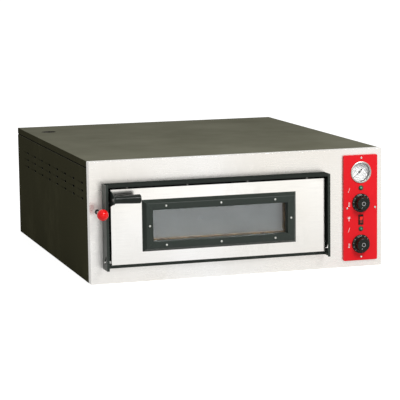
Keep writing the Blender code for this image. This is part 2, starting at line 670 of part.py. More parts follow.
# ---- flue and damper ----
def build_flue():
    low_y, high_y = flue_y - FLUE_BOX_HALF, flue_y + FLUE_BOX_HALF
    deck_right = flue_x + FLUE_RADIUS + 7 * MM
    wall = FLUE_WALL
    pipe_top = BODY_HEIGHT - 0.5 * MM
    step = FLUE_DECK_INSET
    duct = box("flue_duct", (flue_box_left, low_y, flue_box_low),
               (flue_box_right, high_y, flue_deck_high), "galvanised")
    deck = box("join_flue_deck", (flue_box_left + step, low_y + step, flue_deck),
               (deck_right, high_y - step, flue_deck_high - step))
    pipe = rods("join_flue_pipe", FLUE_RADIUS,
                [((flue_x, flue_y, flue_deck_high - 10 * MM), (flue_x, flue_y, pipe_top))], sides=32)
    join(duct, deck, pipe)
    side_room = box("cut_flue_side", (flue_box_left + wall, low_y + wall, flue_box_low + wall),
                    (flue_box_right + 0.01, high_y - wall, chamber_ceiling))
    rise_room = box("cut_flue_rise", (flue_box_left + wall, low_y + wall, chamber_ceiling - 5 * MM),
                    (flue_box_right - wall, high_y - wall, flue_deck + 5 * MM))
    deck_room = box("cut_flue_deck", (flue_box_left + step + wall, low_y + step + wall, flue_deck + wall),
                    (deck_right - wall, high_y - step - wall, flue_deck_high - step - wall))
    pipe_room = rods("cut_flue_pipe", FLUE_RADIUS - wall,
                     [((flue_x, flue_y, flue_deck_high - 12 * MM), (flue_x, flue_y, pipe_top + 10 * MM))],
                     sides=32)
    gate_slot = box("cut_gate_slot", (gate_left - GAP * 2, low_y - 0.01, flue_box_low + 2 * MM),
                    (flue_box_right + 0.01, low_y + 5 * MM, chamber_ceiling - 1 * MM))
    cut(duct, side_room, rise_room, deck_room, pipe_room, gate_slot)


def build_damper():
    arm_half = 10 * MM
    gate = box("damper_gate", (gate_left, gate_front, flue_box_low + 3 * MM),
               (gate_right, gate_back, chamber_ceiling - 2 * MM), "galvanised")
    arm = box("join_gate_arm", (rod_x - arm_half, gate_front + GATE_SHEET, rod_z - arm_half),
              (gate_right - GATE_SHEET / 3, gate_front + 2 * GATE_SHEET, rod_z + arm_half))
    rod_end = gate_front + 8 * MM
    rod_hole = rods("cut_arm_hole", ROD_RADIUS + GAP,
                    [((rod_x, gate_front - 0.01, rod_z), (rod_x, rod_end + 0.01, rod_z))], sides=24)
    join(gate, arm)
    cut(gate, rod_hole)
    socket_depth = BALL_SOCKET
    rod = rods("damper_rod", ROD_RADIUS, [((rod_x, ball_y + socket_depth, rod_z), (rod_x, rod_end, rod_z))],
               "steel", sides=16)
    shape = bmesh.new()
    bmesh.ops.create_uvsphere(shape, u_segments=24, v_segments=14, radius=BALL_RADIUS)
    stand_up = Matrix.Translation((rod_x, ball_y, rod_z)) @ Matrix.Rotation(pi / 2, 4, "X")
    bmesh.ops.transform(shape, matrix=stand_up, verts=shape.verts)
    mesh = bpy.data.meshes.new("damper_ball")
    shape.to_mesh(mesh)
    shape.free()
    mesh.shade_smooth()
    ball = place("damper_ball", mesh, "red plastic")
    socket_ends = ((rod_x, ball_y + socket_depth - GAP, rod_z), (rod_x, ball_y + 2 * BALL_RADIUS, rod_z))
    socket = rods("cut_ball_socket", ROD_RADIUS + GAP, [socket_ends], sides=16)
    cut(ball, socket)
    carry("damper_slide_pivot", (rod_x, ball_y, rod_z), rod, ball, gate)


# ---- door ----
def window_box(name, grow, start, end, finish=None):
    """A cuboid centred on the window, its sides that far outside the aperture, from start to end along Y."""
    half_width = aperture_half_width + grow
    half_height = aperture_half_height + grow
    return box(name, (door_middle - half_width, start, window_z - half_height),
               (door_middle + half_width, end, window_z + half_height), finish)


def build_door():
    through = 50 * MM
    outer = pan("door_outer_panel", (door_left, door_face, door_low), (door_right, door_split, door_high),
                (0, 1, 0), "steel")
    neck_hole = window_box("cut_neck_hole", WINDOW_NECK + GAP, door_face - through, door_face + through)
    pin_ends = []
    pin_tip = SURROUND_SHEET + PIN_PAST_CHEEK
    for edge, tip, outward in ((door_left, cheek_left - pin_tip, -1), (door_right, cheek_right + pin_tip, 1)):
        pin_ends.append(((tip, pin_y, pin_z), (edge - outward * PIN_INSIDE_DOOR, pin_y, pin_z)))
    pin_holes = rods("cut_pin_holes", PIN_RADIUS + GAP, pin_ends, sides=16)
    cut(outer, neck_hole, pin_holes)

    inner = pan("door_inner_panel", (door_left, door_split + GAP, door_low),
                (door_right, door_rear, door_high), (0, -1, 0), "steel", DOOR_INNER_SHEET)
    sight = window_box("cut_sight", 0, door_face - through, door_rear + through)
    cut(inner, sight)

    inset = SHEET + GAP
    fill = box("door_insulation", (door_left + inset, door_face + inset, door_low + DOOR_FILL_START),
               (door_right - inset, door_rear - inset, door_high - inset), "wool")
    window_room = window_box("cut_window_room", GLASS_LAP + 2 * GAP, door_face, door_rear)
    cut(fill, window_room)

    frame = window_box("window_frame", WINDOW_BORDER, window_face, door_face - GAP, "black enamel")
    for corner in frame.data.vertices:
        if corner.co.y < door_face - WINDOW_RISE / 2:
            corner.co.x -= WINDOW_BEVEL * (1 if corner.co.x > door_middle else -1)
            corner.co.z -= WINDOW_BEVEL * (1 if corner.co.z > window_z else -1)
    neck = window_box("join_window_neck", WINDOW_NECK, door_face - 5 * MM, outer_glass_front - GAP)
    join(frame, neck)
    cut(frame, sight)

    panes = []
    outer_back = outer_glass_front + GLASS_THICKNESS
    inner_front_face = inner_glass_rear - GLASS_THICKNESS
    for name, start, end in (("window_glass_outer", outer_glass_front, outer_back),
                             ("window_glass_inner", inner_front_face, inner_glass_rear)):
        panes.append(window_box(name, GLASS_LAP, start, end, "glass"))
    spacer = window_box("window_spacer", GLASS_LAP, outer_back + GAP, inner_front_face - GAP, "galvanised")
    cut(spacer, window_box("cut_spacer", -SPACER_LIP, door_face, door_rear))

    bracket_right = door_left - GAP
    bracket_left = bracket_right - BRACKET_SHEET
    nose = arc((grip_y, grip_z), GRIP_RADIUS + 1 * MM, 75, 285, 13)
    foot_high = door_high - 1 * MM
    foot_low = foot_high - BRACKET_FOOT
    outline = [(door_face + BRACKET_LAP, foot_low), (door_face + BRACKET_LAP, foot_high),
               (door_face - 2 * MM, foot_high), *nose, (door_face - 2 * MM, foot_low)]
    bracket = flat("handle_bracket", [outline], bracket_left, bracket_right, ALONG_X, "black enamel")
    taper = GRIP_RADIUS - GRIP_NECK_RADIUS
    soft = 3 * MM
    profile = [(0, GRIP_LENGTH), (GRIP_RADIUS - soft, GRIP_LENGTH),
               (GRIP_RADIUS - 0.3 * soft, GRIP_LENGTH - 0.3 * soft),
               (GRIP_RADIUS, GRIP_LENGTH - soft), (GRIP_RADIUS - taper / 2, GRIP_LENGTH / 2),
               (GRIP_NECK_RADIUS, soft), (GRIP_NECK_RADIUS - 1 * MM, 0), (0, 0)]
    grip = turned("handle_grip", profile, (door_left, grip_y, grip_z), (1, 0, 0), "black plastic")
    pins = [rods("hinge_pin_" + name, PIN_RADIUS, [ends], "steel", sides=16)
            for name, ends in zip(("left", "right"), pin_ends)]
    carry("door_hinge_pivot", (door_middle, pin_y, pin_z), outer, inner, fill, frame, *panes, spacer, bracket,
          grip, *pins)


# ---- control panel ----
TO_VIEWER = (0, -1, 0)


def build_fascia():
    outline = rounded(fascia_left, fascia_right, fascia_low, fascia_high, FASCIA_CORNER)
    fascia = flat("control_fascia", [outline], fascia_face, front - GAP, ALONG_Y, "red paint")
    room = box("cut_fascia_room", (fascia_left + SHEET, fascia_face + SHEET, fascia_low + SHEET),
               (fascia_right - SHEET, front + 0.01, fascia_high - SHEET))
    tools = [room] + [bpy.data.objects[name] for name in
                      ("cut_gauge_hole", "cut_shaft_holes", "cut_lamp_holes", "cut_switch_hole")]
    cut(fascia, *tools)


def build_gauge():
    centre = (control_x, fascia_face, gauge_z)
    rim = 3 * MM
    wall = 1.5 * MM
    ledge = 0.8 * MM
    cup = [(GAUGE_RADIUS - 2 * MM, rim + 1 * MM), (GAUGE_RADIUS, rim), (GAUGE_RADIUS, GAP),
           (GAUGE_CUP_RADIUS, GAP),
           (GAUGE_CUP_RADIUS, -GAUGE_CUP_DEPTH), (0, -GAUGE_CUP_DEPTH), (0, wall - GAUGE_CUP_DEPTH),
           (GAUGE_CUP_RADIUS - wall, wall - GAUGE_CUP_DEPTH), (GAUGE_CUP_RADIUS - wall, ledge),
           (GAUGE_CUP_RADIUS, ledge), (GAUGE_CUP_RADIUS, rim), (GAUGE_RADIUS - 2 * MM, rim + 1 * MM)]
    turned("gauge_case", cup, centre, TO_VIEWER, "steel", 40)
    glass_radius = GAUGE_CUP_RADIUS - GAP
    glass_low = ledge + GAP
    glass_high = glass_low + 1.6 * MM
    glass = [(0, glass_high), (glass_radius, glass_high), (glass_radius, glass_low), (0, glass_low)]
    turned("gauge_glass", glass, centre, TO_VIEWER, "glass")
    dial_low = wall - GAUGE_CUP_DEPTH + GAP
    dial_radius = GAUGE_CUP_RADIUS - wall - GAP
    dial = [(0, dial_low + 1 * MM), (dial_radius, dial_low + 1 * MM), (dial_radius, dial_low), (0, dial_low)]
    turned("gauge_dial", dial, centre, TO_VIEWER, "white dial")

    hub_start = fascia_face - dial_low - 1 * MM - GAP
    hub_end = hub_start - 3 * MM
    reach = Vector((-sin(pi / 4), -cos(pi / 4)))
    across = Vector((reach.y, -reach.x))
    hub = Vector((control_x, gauge_z))
    tip = NEEDLE_LENGTH * reach
    blade = [hub + tip - across * 0.4 * MM, hub + tip + across * 0.4 * MM,
             hub - 8 * MM * reach + across * 1.4 * MM, hub - 8 * MM * reach - across * 1.4 * MM]
    needle = flat("gauge_needle", [[tuple(point) for point in blade]], hub_start - 1.4 * MM,
                  hub_start - 0.6 * MM, ALONG_Y, "black plastic")
    knuckle_ends = ((control_x, hub_start, gauge_z), (control_x, hub_end, gauge_z))
    knuckle = rods("join_needle_hub", 3 * MM, [knuckle_ends], sides=16)
    join(needle, knuckle)
    carry("gauge_needle_pivot", (control_x, hub_start, gauge_z), needle)


def build_lamps():
    lens = LAMP_LENS_RADIUS
    bezel = lens + 1.5 * MM
    profile = [(0, 6.5 * MM), (0.5 * lens, 6 * MM), (0.86 * lens, 4.4 * MM), (lens, 2 * MM),
               (bezel, 1.6 * MM), (bezel, GAP), (LAMP_BODY_RADIUS, GAP),
               (LAMP_BODY_RADIUS, -24 * MM), (0, -24 * MM)]
    for name, z in (("pilot_lamp_upper", upper_lamp_z), ("pilot_lamp_lower", lower_lamp_z)):
        turned(name, profile, (control_x, fascia_face, z), TO_VIEWER, "green lens", 24)


def build_knobs():
    cap = KNOB_CAP_RADIUS
    skirt = KNOB_SKIRT_RADIUS
    lift = 1 * MM
    shaft_end = -(FASCIA_RISE + 12 * MM)
    profile = [(0, KNOB_HEIGHT - 1 * MM), (cap * 0.45, KNOB_HEIGHT - 1 * MM), (cap * 0.5, KNOB_HEIGHT),
               (cap - 3 * MM, KNOB_HEIGHT), (cap - 1 * MM, KNOB_HEIGHT - 1.5 * MM),
               (cap, KNOB_HEIGHT - 4 * MM), (cap + 1.5 * MM, lift + 5 * MM), (skirt - 1 * MM, lift + 3 * MM),
               (skirt, lift + 2 * MM), (skirt, lift),
               (SHAFT_RADIUS, lift), (SHAFT_RADIUS, shaft_end), (0, shaft_end)]
    for name, z in (("upper", upper_knob_z), ("lower", lower_knob_z)):
        knob = turned("knob_" + name, profile, (control_x, fascia_face, z), TO_VIEWER, "black plastic", 36)
        carry("knob_%s_pivot" % name, (control_x, fascia_face, z), knob)
        half = THERMOSTAT_SIZE / 2
        body_front = front + SHEET + GAP
        body = box("thermostat_" + name, (control_x - half, body_front, z - half),
                   (control_x + half, body_front + THERMOSTAT_DEPTH, z + half), "galvanised")
        bore = rods("cut_bore_" + name, SHAFT_RADIUS + GAP,
                    [((control_x, front - 0.01, z), (control_x, front + 14 * MM, z))], sides=16)
        cut(body, bore)


def build_switch():
    low_face = fascia_face - GAP
    bezel_face = low_face - 2 * MM
    half_width, half_height = SWITCH_WIDTH / 2, SWITCH_HEIGHT / 2
    outline = rounded(control_x - half_width, control_x + half_width, switch_z - half_height,
                      switch_z + half_height, 1.5 * MM)
    housing = flat("switch_housing", [outline], bezel_face, low_face, ALONG_Y, "black plastic")
    body_low = switch_z - switch_body_half_height
    body_high = switch_z + switch_body_half_height
    body = box("join_switch_body", (control_x - switch_body_half_width, low_face - 1 * MM, body_low),
               (control_x + switch_body_half_width, front + 14 * MM, body_high))
    pocket_half_width = ROCKER_WIDTH / 2 + GAP
    pocket_half_height = ROCKER_HEIGHT / 2 + 1.4 * MM
    pocket = box("cut_switch_pocket",
                 (control_x - pocket_half_width, bezel_face - 10 * MM, switch_z - pocket_half_height),
                 (control_x + pocket_half_width, fascia_face + 9 * MM, switch_z + pocket_half_height))
    join(housing, body)
    cut(housing, pocket)

    half = ROCKER_HEIGHT / 2
    shape = [(-5.5 * MM, -half), (-3.2 * MM, 0), (-5.5 * MM, half), (-1 * MM, half), (3 * MM, half * 0.8),
             (5 * MM, 0), (3 * MM, -half * 0.8), (-1 * MM, -half)]
    turn = Matrix.Rotation(ROCKER_TILT, 2)
    pivot = Vector((fascia_face, switch_z))
    outline = [tuple(pivot + turn @ Vector(point)) for point in shape]
    rocker = flat("switch_rocker", [outline], control_x - ROCKER_WIDTH / 2, control_x + ROCKER_WIDTH / 2,
                  ALONG_X, "red plastic")
    carry("switch_rocker_pivot", (control_x, fascia_face, switch_z), rocker)


# ---- wiring ----
def build_wiring():
    profile = [(0, 16 * MM), (6 * MM, 16 * MM), (8 * MM, 14 * MM), (GLAND_NUT_RADIUS, 12 * MM),
               (GLAND_NUT_RADIUS, GAP), (GLAND_RADIUS, GAP), (GLAND_RADIUS, -12 * MM), (0, -12 * MM)]
    turned("cable_gland", profile, (gland_x, back, GLAND_HEIGHT), (0, 1, 0), "black plastic", 24)
    width, depth, height = TERMINAL_SIZE
    low = Vector((gland_x - width / 2, back - TERMINAL_FROM_REAR, SHEET + GAP))
    block = box("terminal_block", low, low + Vector((width, depth, height)), "white dial")
    way_xs = [gland_x + step * width / 5 for step in (-2, -1, 0, 1, 2)]
    ways = [((x, low.y - 10 * MM, height * 0.6), (x, low.y + 8 * MM, height * 0.6)) for x in way_xs]
    cut(block, rods("cut_terminal_ways", 4 * MM, ways, sides=12))


build_front_panel()
build_covers()
build_inner_frame()
build_surround()
build_chamber()
build_stones()
build_elements()
build_chamber_lamp()
build_flue()
build_damper()
build_door()
build_fascia()
build_gauge()
build_lamps()
build_knobs()
build_switch()
build_wiring()
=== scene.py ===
import json
from math import cos, pi, radians, sin

import bmesh
import bpy
import numpy as np
from mathutils import Matrix, Vector

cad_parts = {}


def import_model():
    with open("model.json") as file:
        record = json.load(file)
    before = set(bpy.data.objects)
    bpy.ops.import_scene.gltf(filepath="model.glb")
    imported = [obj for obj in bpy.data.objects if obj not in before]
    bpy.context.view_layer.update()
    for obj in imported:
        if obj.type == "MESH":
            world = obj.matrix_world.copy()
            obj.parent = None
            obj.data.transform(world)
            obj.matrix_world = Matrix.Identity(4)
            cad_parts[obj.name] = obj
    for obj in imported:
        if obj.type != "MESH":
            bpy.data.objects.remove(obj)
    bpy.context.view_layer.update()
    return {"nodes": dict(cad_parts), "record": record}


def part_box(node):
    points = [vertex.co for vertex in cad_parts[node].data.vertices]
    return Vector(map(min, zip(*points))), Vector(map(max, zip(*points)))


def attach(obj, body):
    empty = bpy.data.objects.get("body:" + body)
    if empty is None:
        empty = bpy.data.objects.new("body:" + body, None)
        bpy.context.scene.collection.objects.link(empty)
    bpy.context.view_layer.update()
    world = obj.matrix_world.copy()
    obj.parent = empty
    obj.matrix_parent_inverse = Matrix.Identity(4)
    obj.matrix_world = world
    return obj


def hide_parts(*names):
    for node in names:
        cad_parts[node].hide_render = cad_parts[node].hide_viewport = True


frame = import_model()
nodes = frame["nodes"]
bodyOfNode = {node: body for body, names in frame["record"]["behaviour"]["bodies"].items() for node in names}
print("frame loaded:", len(nodes), "nodes")

xAxis, yAxis, zAxis = np.eye(3)
toViewer = -yAxis


def corners(node):
    # a CAD node's lowest and highest corners at rest
    return np.array(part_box(node))


def middle(node):
    return corners(node).mean(0)


def gridFaces(rows, columns, wrapRows=False, wrapColumns=False):
    # four corner numbers for each cell of a grid; a wrapped side joins its last line to its first
    r, c = np.meshgrid(np.arange(rows if wrapRows else rows - 1),
                       np.arange(columns if wrapColumns else columns - 1), indexing="ij")
    nextR, nextC = (r + 1) % rows, (c + 1) % columns
    cells = [r * columns + c, r * columns + nextC, nextR * columns + nextC, nextR * columns + c]
    return np.stack(cells, -1).reshape(-1, 4).tolist()


def sleeve(count):
    # two rings of count points, walled in between and closed by one face each
    return gridFaces(2, count, wrapColumns=True) + [list(range(count)), list(range(count, 2 * count))]


def ringPoints(reach, height, t, centre, axis):
    # point = centre + axis * height + reach * (cos t, sin t) in the two directions square to the axis
    axis = np.asarray(axis, float)
    across = np.cross(axis, xAxis if abs(axis[0]) < 0.9 else zAxis)
    across /= np.linalg.norm(across)
    upward = np.cross(axis, across)
    points = (np.asarray(centre) + height[..., None] * axis + (reach * np.cos(t))[..., None] * across
              + (reach * np.sin(t))[..., None] * upward)
    return points.reshape(-1, 3)


def lathe(profile, centre, axis, steps=48, swell=None):
    # a profile of radius and height turned about the axis; swell(t, height) scales the radius
    radius, height = np.asarray(profile, float).T[:, :, None]
    t = np.linspace(0, 2 * pi, steps, endpoint=False)[None, :]
    reach = radius * (swell(t, height) if swell else np.ones_like(t))
    return ringPoints(reach, height, t, centre, axis), gridFaces(len(profile), steps, wrapColumns=True)


def carried(profile, path, upward):
    # round a closed path: path point + side * profile x + upward * profile y, side square to the heading
    path, upward, profile = (np.asarray(given, float) for given in (path, upward, profile))
    side = np.cross(np.roll(path, -1, 0) - np.roll(path, 1, 0), upward)
    side /= np.linalg.norm(side, axis=1)[:, None]
    points = path[:, None] + side[:, None] * profile[None, :, :1] + upward * profile[None, :, 1:]
    return points.reshape(-1, 3), gridFaces(len(path), len(profile), wrapRows=True, wrapColumns=True)


def plate(outline, start, end, across=xAxis, upward=zAxis, through=yAxis):
    # a flat outline in the across and upward directions, repeated at start and end along the third one
    outline = np.asarray(outline, float)
    flat = outline[:, :1] * across + outline[:, 1:] * upward
    return np.concatenate([flat + start * through, flat + end * through]), sleeve(len(outline))


def arcPoints(centre, radius, first, last, count):
    # centre + radius * (cos a, sin a), a from first to last in degrees
    a = np.radians(np.linspace(first, last, count))
    return np.stack([centre[0] + radius * np.cos(a), centre[1] + radius * np.sin(a)], -1)


def roundedRectangle(left, right, low, high, radius, count=5):
    # four quarter arcs, one round each corner, anticlockwise from the lower right
    left, right, low, high = left + radius, right - radius, low + radius, high - radius
    turns = ((right, low, -90), (right, high, 0), (left, high, 90), (left, low, 180))
    return np.concatenate([arcPoints((x, y), radius, first, first + 90, count) for x, y, first in turns])


def slotOutline(left, right, level, radius, count=7):
    # two half circles joined by straight sides
    return np.concatenate([arcPoints((right - radius, level), radius, -90, 90, count),
                           arcPoints((left + radius, level), radius, 90, 270, count)])


def buttonScrew(centre, axis, radius, height):
    # rings of radius, height and how six-sided they are: a low dome, then the socket in its middle
    ring = np.array([[1.0, 0, 0], [0.98, 0.35, 0], [0.84, 0.72, 0], [0.62, 0.94, 0], [0.48, 1.0, 0.6],
                     [0.44, 0.96, 1], [0.42, 0.45, 1], [0.0, 0.40, 1]])
    t = np.linspace(0, 2 * pi, 24, endpoint=False)
    sixSided = 0.92 / np.cos((t + pi / 6) % (pi / 3) - pi / 6)
    reach = radius * ring[:, :1] * (1 - ring[:, 2:] + ring[:, 2:] * sixSided)
    faces = gridFaces(len(ring), 24, wrapColumns=True) + [list(range(24))]
    return ringPoints(reach, height * ring[:, 1:2], t, centre, axis), faces


def screwsAt(spots, axis, look):
    return [buttonScrew(spot, axis, look["radius"], look["height"]) for spot in spots]


def linked(name, data):
    made = bpy.data.objects.new(name, data)
    bpy.context.scene.collection.objects.link(made)
    return made


def pointsOf(mesh):
    points = np.empty(len(mesh.vertices) * 3)
    mesh.vertices.foreach_get("co", points)
    return points.reshape(-1, 3)


def lettering(words, size, depth, centre):
    # text as a closed mesh that stands upright and faces the viewer, its middle at the centre
    curve = bpy.data.curves.new("words", "FONT")
    curve.body, curve.size, curve.extrude = words, size, depth / 2
    curve.align_x, curve.align_y = "CENTER", "CENTER"
    curve.resolution_u = 3
    holder = linked("words", curve)
    bpy.context.view_layer.update()
    mesh = bpy.data.meshes.new_from_object(holder.evaluated_get(bpy.context.evaluated_depsgraph_get()))
    bpy.data.objects.remove(holder, do_unlink=True)
    bpy.data.curves.remove(curve)
    points, faces = pointsOf(mesh), [list(face.vertices) for face in mesh.polygons]
    bpy.data.meshes.remove(mesh)
    return points[:, (0, 2, 1)] * (1, -1, 1) + centre, faces


def piece(name, shapes, material, body, standsFor=None, smoothUnder=40, weld=2e-6):
    # all the shapes in one mesh, doubles merged, faces outwards, edges sharper than the angle kept crisp;
    # it may stand for a CAD node
    faces, offset = [], 0
    for points, shapeFaces in shapes:
        faces += [[corner + offset for corner in face] for face in shapeFaces]
        offset += len(points)
    mesh = bpy.data.meshes.new(name)
    mesh.from_pydata(np.concatenate([points for points, _ in shapes]), [], faces)
    welded = bmesh.new()
    welded.from_mesh(mesh)
    bmesh.ops.remove_doubles(welded, verts=welded.verts, dist=weld)
    bmesh.ops.dissolve_degenerate(welded, edges=welded.edges, dist=weld)
    bmesh.ops.recalc_face_normals(welded, faces=welded.faces)
    welded.to_mesh(mesh)
    welded.free()
    mesh.shade_smooth()
    mesh.set_sharp_from_angle(angle=radians(smoothUnder))
    mesh.materials.append(material)
    made = linked(name, mesh)
    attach(made, body)
    if standsFor:
        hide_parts(standsFor)


def eased(node, material, fold=0.0014, cutEdge=0.0003):
    # a copy of a CAD node with its doubles merged and its edges rounded: folds on the box's own edges by
    # fold, every other sharp edge by cutEdge
    samePlace, flatUnder, sharpOver = 1e-5, radians(0.6), radians(25)
    mesh = nodes[node].data.copy()
    welded = bmesh.new()
    welded.from_mesh(mesh)
    bmesh.ops.remove_doubles(welded, verts=welded.verts, dist=samePlace)
    bmesh.ops.dissolve_limit(welded, angle_limit=flatUnder, verts=welded.verts, edges=welded.edges)
    welded.to_mesh(mesh)
    welded.free()
    points = pointsOf(mesh)
    ends = np.empty(len(mesh.edges) * 2, int)
    mesh.edges.foreach_get("vertices", ends)
    a, b = points[ends.reshape(-1, 2).T]
    onLow, onHigh = ((np.abs(a - limit) < samePlace) & (np.abs(b - limit) < samePlace)
                     for limit in (points.min(0), points.max(0)))
    onFold = (onLow | onHigh).sum(1) >= 2
    sharp = bmesh.new()
    sharp.from_mesh(mesh)
    turning = np.array([edge.calc_face_angle(0) > sharpOver for edge in sharp.edges])
    sharp.free()
    width = np.where(turning, np.where(onFold, 1.0, cutEdge / fold), 0.0).astype(np.float32)
    mesh.attributes.new("bevel_weight_edge", "FLOAT", "EDGE").data.foreach_set("value", width)
    mesh.materials.clear()
    mesh.materials.append(material)
    mesh.shade_smooth()
    made = linked(node + "_sheet", mesh)
    bevel = made.modifiers.new("rounded folds", "BEVEL")
    bevel.limit_method, bevel.width, bevel.segments = "WEIGHT", fold, 3
    bevel.use_clamp_overlap = False
    made.modifiers.new("even shading", "WEIGHTED_NORMAL").keep_sharp = True
    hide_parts(node)
    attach(made, bodyOfNode[node])


def put(tree, kind, **values):
    # a node with its settings; a name that isn't a setting is one of its sockets
    node = tree.nodes.new("ShaderNode" + kind)
    for key, value in values.items():
        if hasattr(node, key):
            setattr(node, key, value)
        else:
            node.inputs[key.replace("_", " ")].default_value = value
    return node


def join(tree, *pairs):
    # pairs of a value and a socket: a number or colour is set on the socket, an output is linked to it
    for value, socket in zip(pairs[::2], pairs[1::2]):
        if isinstance(value, (int, float)):
            socket.default_value = value
        elif isinstance(value, tuple):
            socket.default_value = (*value, 1)
        elif value is not None:
            tree.links.new(value, socket)


def maths(tree, operation, first, second=None):
    node = put(tree, "Math", operation=operation)
    join(tree, first, node.inputs[0], second, node.inputs[1])
    return node.outputs[0]


def times(tree, first, second):
    return maths(tree, "MULTIPLY", first, second)


def spread(tree, value, fromLow, fromHigh, toLow=0.0, toHigh=1.0, smooth=False):
    # a value carried from one range to another and held inside it
    node = put(tree, "MapRange", interpolation_type="SMOOTHSTEP" if smooth else "LINEAR")
    for socket, number in zip(node.inputs, (value, fromLow, fromHigh, toLow, toHigh)):
        join(tree, number, socket)
    return node.outputs["Result"]


def blendColours(tree, factor, first, second):
    node = put(tree, "Mix", data_type="RGBA")
    join(tree, factor, node.inputs[0], first, node.inputs[6], second, node.inputs[7])
    return node.outputs[2]


def toned(tree, value, low, high, first, second):
    # the first colour where the value is low, the second where it is high
    return blendColours(tree, spread(tree, value, low, high), first, second)


def shade(colour, factor, added=0.0):
    return tuple(min(1.0, factor * part + added) for part in colour)


def objectPoint(tree, scale=(1, 1, 1)):
    mapping = put(tree, "Mapping", Scale=scale)
    join(tree, put(tree, "TexCoord").outputs["Object"], mapping.inputs["Vector"])
    return mapping.outputs["Vector"]


def noiseOf(tree, vector, scale, detail=3.0, roughness=0.55):
    node = put(tree, "TexNoise", Detail=detail, Roughness=roughness)
    join(tree, vector, node.inputs["Vector"], scale, node.inputs["Scale"])
    return node.outputs["Fac"]


def cellsOf(tree, vector, scale):
    node = put(tree, "TexVoronoi", Scale=scale)
    join(tree, vector, node.inputs["Vector"])
    return node.outputs


def nodeGroup(name, inputs, outputs):
    # an empty shader group, with the sockets that it is given and those that it fills
    group = bpy.data.node_groups.new(name, "ShaderNodeTree")
    for label, value in inputs.items():
        kind = "NodeSocketVector" if isinstance(value, tuple) else "NodeSocketFloat"
        group.interface.new_socket(label, in_out="INPUT", socket_type=kind).default_value = value
    for label in outputs:
        group.interface.new_socket(label, in_out="OUTPUT", socket_type="NodeSocketFloat")
    return group, group.nodes.new("NodeGroupInput").outputs, group.nodes.new("NodeGroupOutput").inputs


def buildBrushing():
    # long fine scratches: noise stretched by the Stretch vector, and a slower drift of tone
    group, given, out = nodeGroup("brushing", {"Stretch": (20, 1500, 1500), "Drift": 3.0},
                                  ("Scratches", "Tone"))
    place = objectPoint(group)
    stretched = put(group, "VectorMath", operation="MULTIPLY")
    join(group, place, stretched.inputs[0], given["Stretch"], stretched.inputs[1])
    join(group, noiseOf(group, stretched.outputs[0], 1.0, 2.0), out["Scratches"],
         noiseOf(group, place, given["Drift"], 2.0, 0.5), out["Tone"])
    return group


def buildHandling():
    # smudges where hands and cloths pass: soft patches broken up by finer wipe marks
    group, given, out = nodeGroup("handling", {"Patch Scale": 7.0, "Wipe Scale": 60.0}, ("Smudges",))
    patches = noiseOf(group, objectPoint(group), given["Patch Scale"], 2.0, 0.5)
    wipes = noiseOf(group, objectPoint(group, (1, 1, 0.35)), given["Wipe Scale"], 4.0, 0.7)
    soft = spread(group, patches, 0.45, 0.68, smooth=True)
    join(group, times(group, soft, spread(group, wipes, 0.35, 0.7)), out["Smudges"])
    return group


def buildEdgeWear():
    # how far the surface turns within a small radius, broken up by noise, so only edges and corners show it
    group, given, out = nodeGroup("edgeWear", {"Radius": 0.002, "Break Up": 180.0}, ("Wear",))
    bevel = put(group, "Bevel", samples=4)
    turn = put(group, "VectorMath", operation="DOT_PRODUCT")
    join(group, given["Radius"], bevel.inputs["Radius"], bevel.outputs["Normal"], turn.inputs[0],
         put(group, "NewGeometry").outputs["Normal"], turn.inputs[1])
    edge = spread(group, turn.outputs["Value"], 0.995, 0.86)
    breaks = spread(group, noiseOf(group, objectPoint(group), given["Break Up"], 3.0, 0.5), 0.4, 0.62)
    join(group, times(group, edge, breaks), out["Wear"])
    return group


def buildDustAndSheen():
    # fine flour dust and painted sheen on faces that look up, thicker in slow patches: the lightening also
    # stands in for the sheen that upward faces take from the bright surroundings
    group, given, out = nodeGroup("settledDustAndSheen", {"Patch Scale": 5.0, "Thickness": 0.6}, ("DustAndSheen",))
    apart = put(group, "SeparateXYZ")
    join(group, put(group, "NewGeometry").outputs["Normal"], apart.inputs[0])
    upward = spread(group, apart.outputs["Z"], 0.55, 0.98, smooth=True)
    patches = noiseOf(group, objectPoint(group), given["Patch Scale"], 5.0, 0.6)
    patchy = spread(group, patches, 0.2, 0.75, 0.55, 1.0)
    join(group, times(group, times(group, upward, patchy), given["Thickness"]), out["DustAndSheen"])
    return group


def buildOrangePeel():
    # the shallow lumps of a sprayed or baked finish, with rare larger specks
    group, given, out = nodeGroup("orangePeel", {"Scale": 420.0}, ("Height", "Specks"))
    place = objectPoint(group)
    specks = spread(group, cellsOf(group, place, 900.0)["Distance"], 0.09, 0.04)
    join(group, noiseOf(group, place, given["Scale"], 1.5, 0.5), out["Height"], specks, out["Specks"])
    return group


brushing, handling, edgeWear = buildBrushing(), buildHandling(), buildEdgeWear()
settledDustAndSheen, orangePeel = buildDustAndSheen(), buildOrangePeel()


def groupIn(tree, group, **values):
    node = tree.nodes.new("ShaderNodeGroup")
    node.node_tree = group
    for key, value in values.items():
        node.inputs[key.replace("_", " ")].default_value = value
    return node.outputs


def newMaterial(name, colour, metallic=0.0, roughness=0.4, **fixed):
    material = bpy.data.materials.new(name)
    material.use_nodes = True
    shader = material.node_tree.nodes["Principled BSDF"]
    shader.inputs["Base Color"].default_value = (*colour, 1)
    shader.inputs["Metallic"].default_value = metallic
    shader.inputs["Roughness"].default_value = roughness
    for key, value in fixed.items():
        shader.inputs[key.replace("_", " ")].default_value = value
    return material, material.node_tree


def surface(material, colour, roughness=None, height=None, depth=0.0, strength=1.0):
    # what varies over a surface: its colour, its roughness, and bumps of a depth in metres
    tree = material.node_tree
    shader = tree.nodes["Principled BSDF"]
    join(tree, colour, shader.inputs["Base Color"], roughness, shader.inputs["Roughness"])
    if height is not None:
        bump = put(tree, "Bump", Distance=depth, Strength=strength)
        join(tree, height, bump.inputs["Height"], bump.outputs["Normal"], shader.inputs["Normal"])
    return material


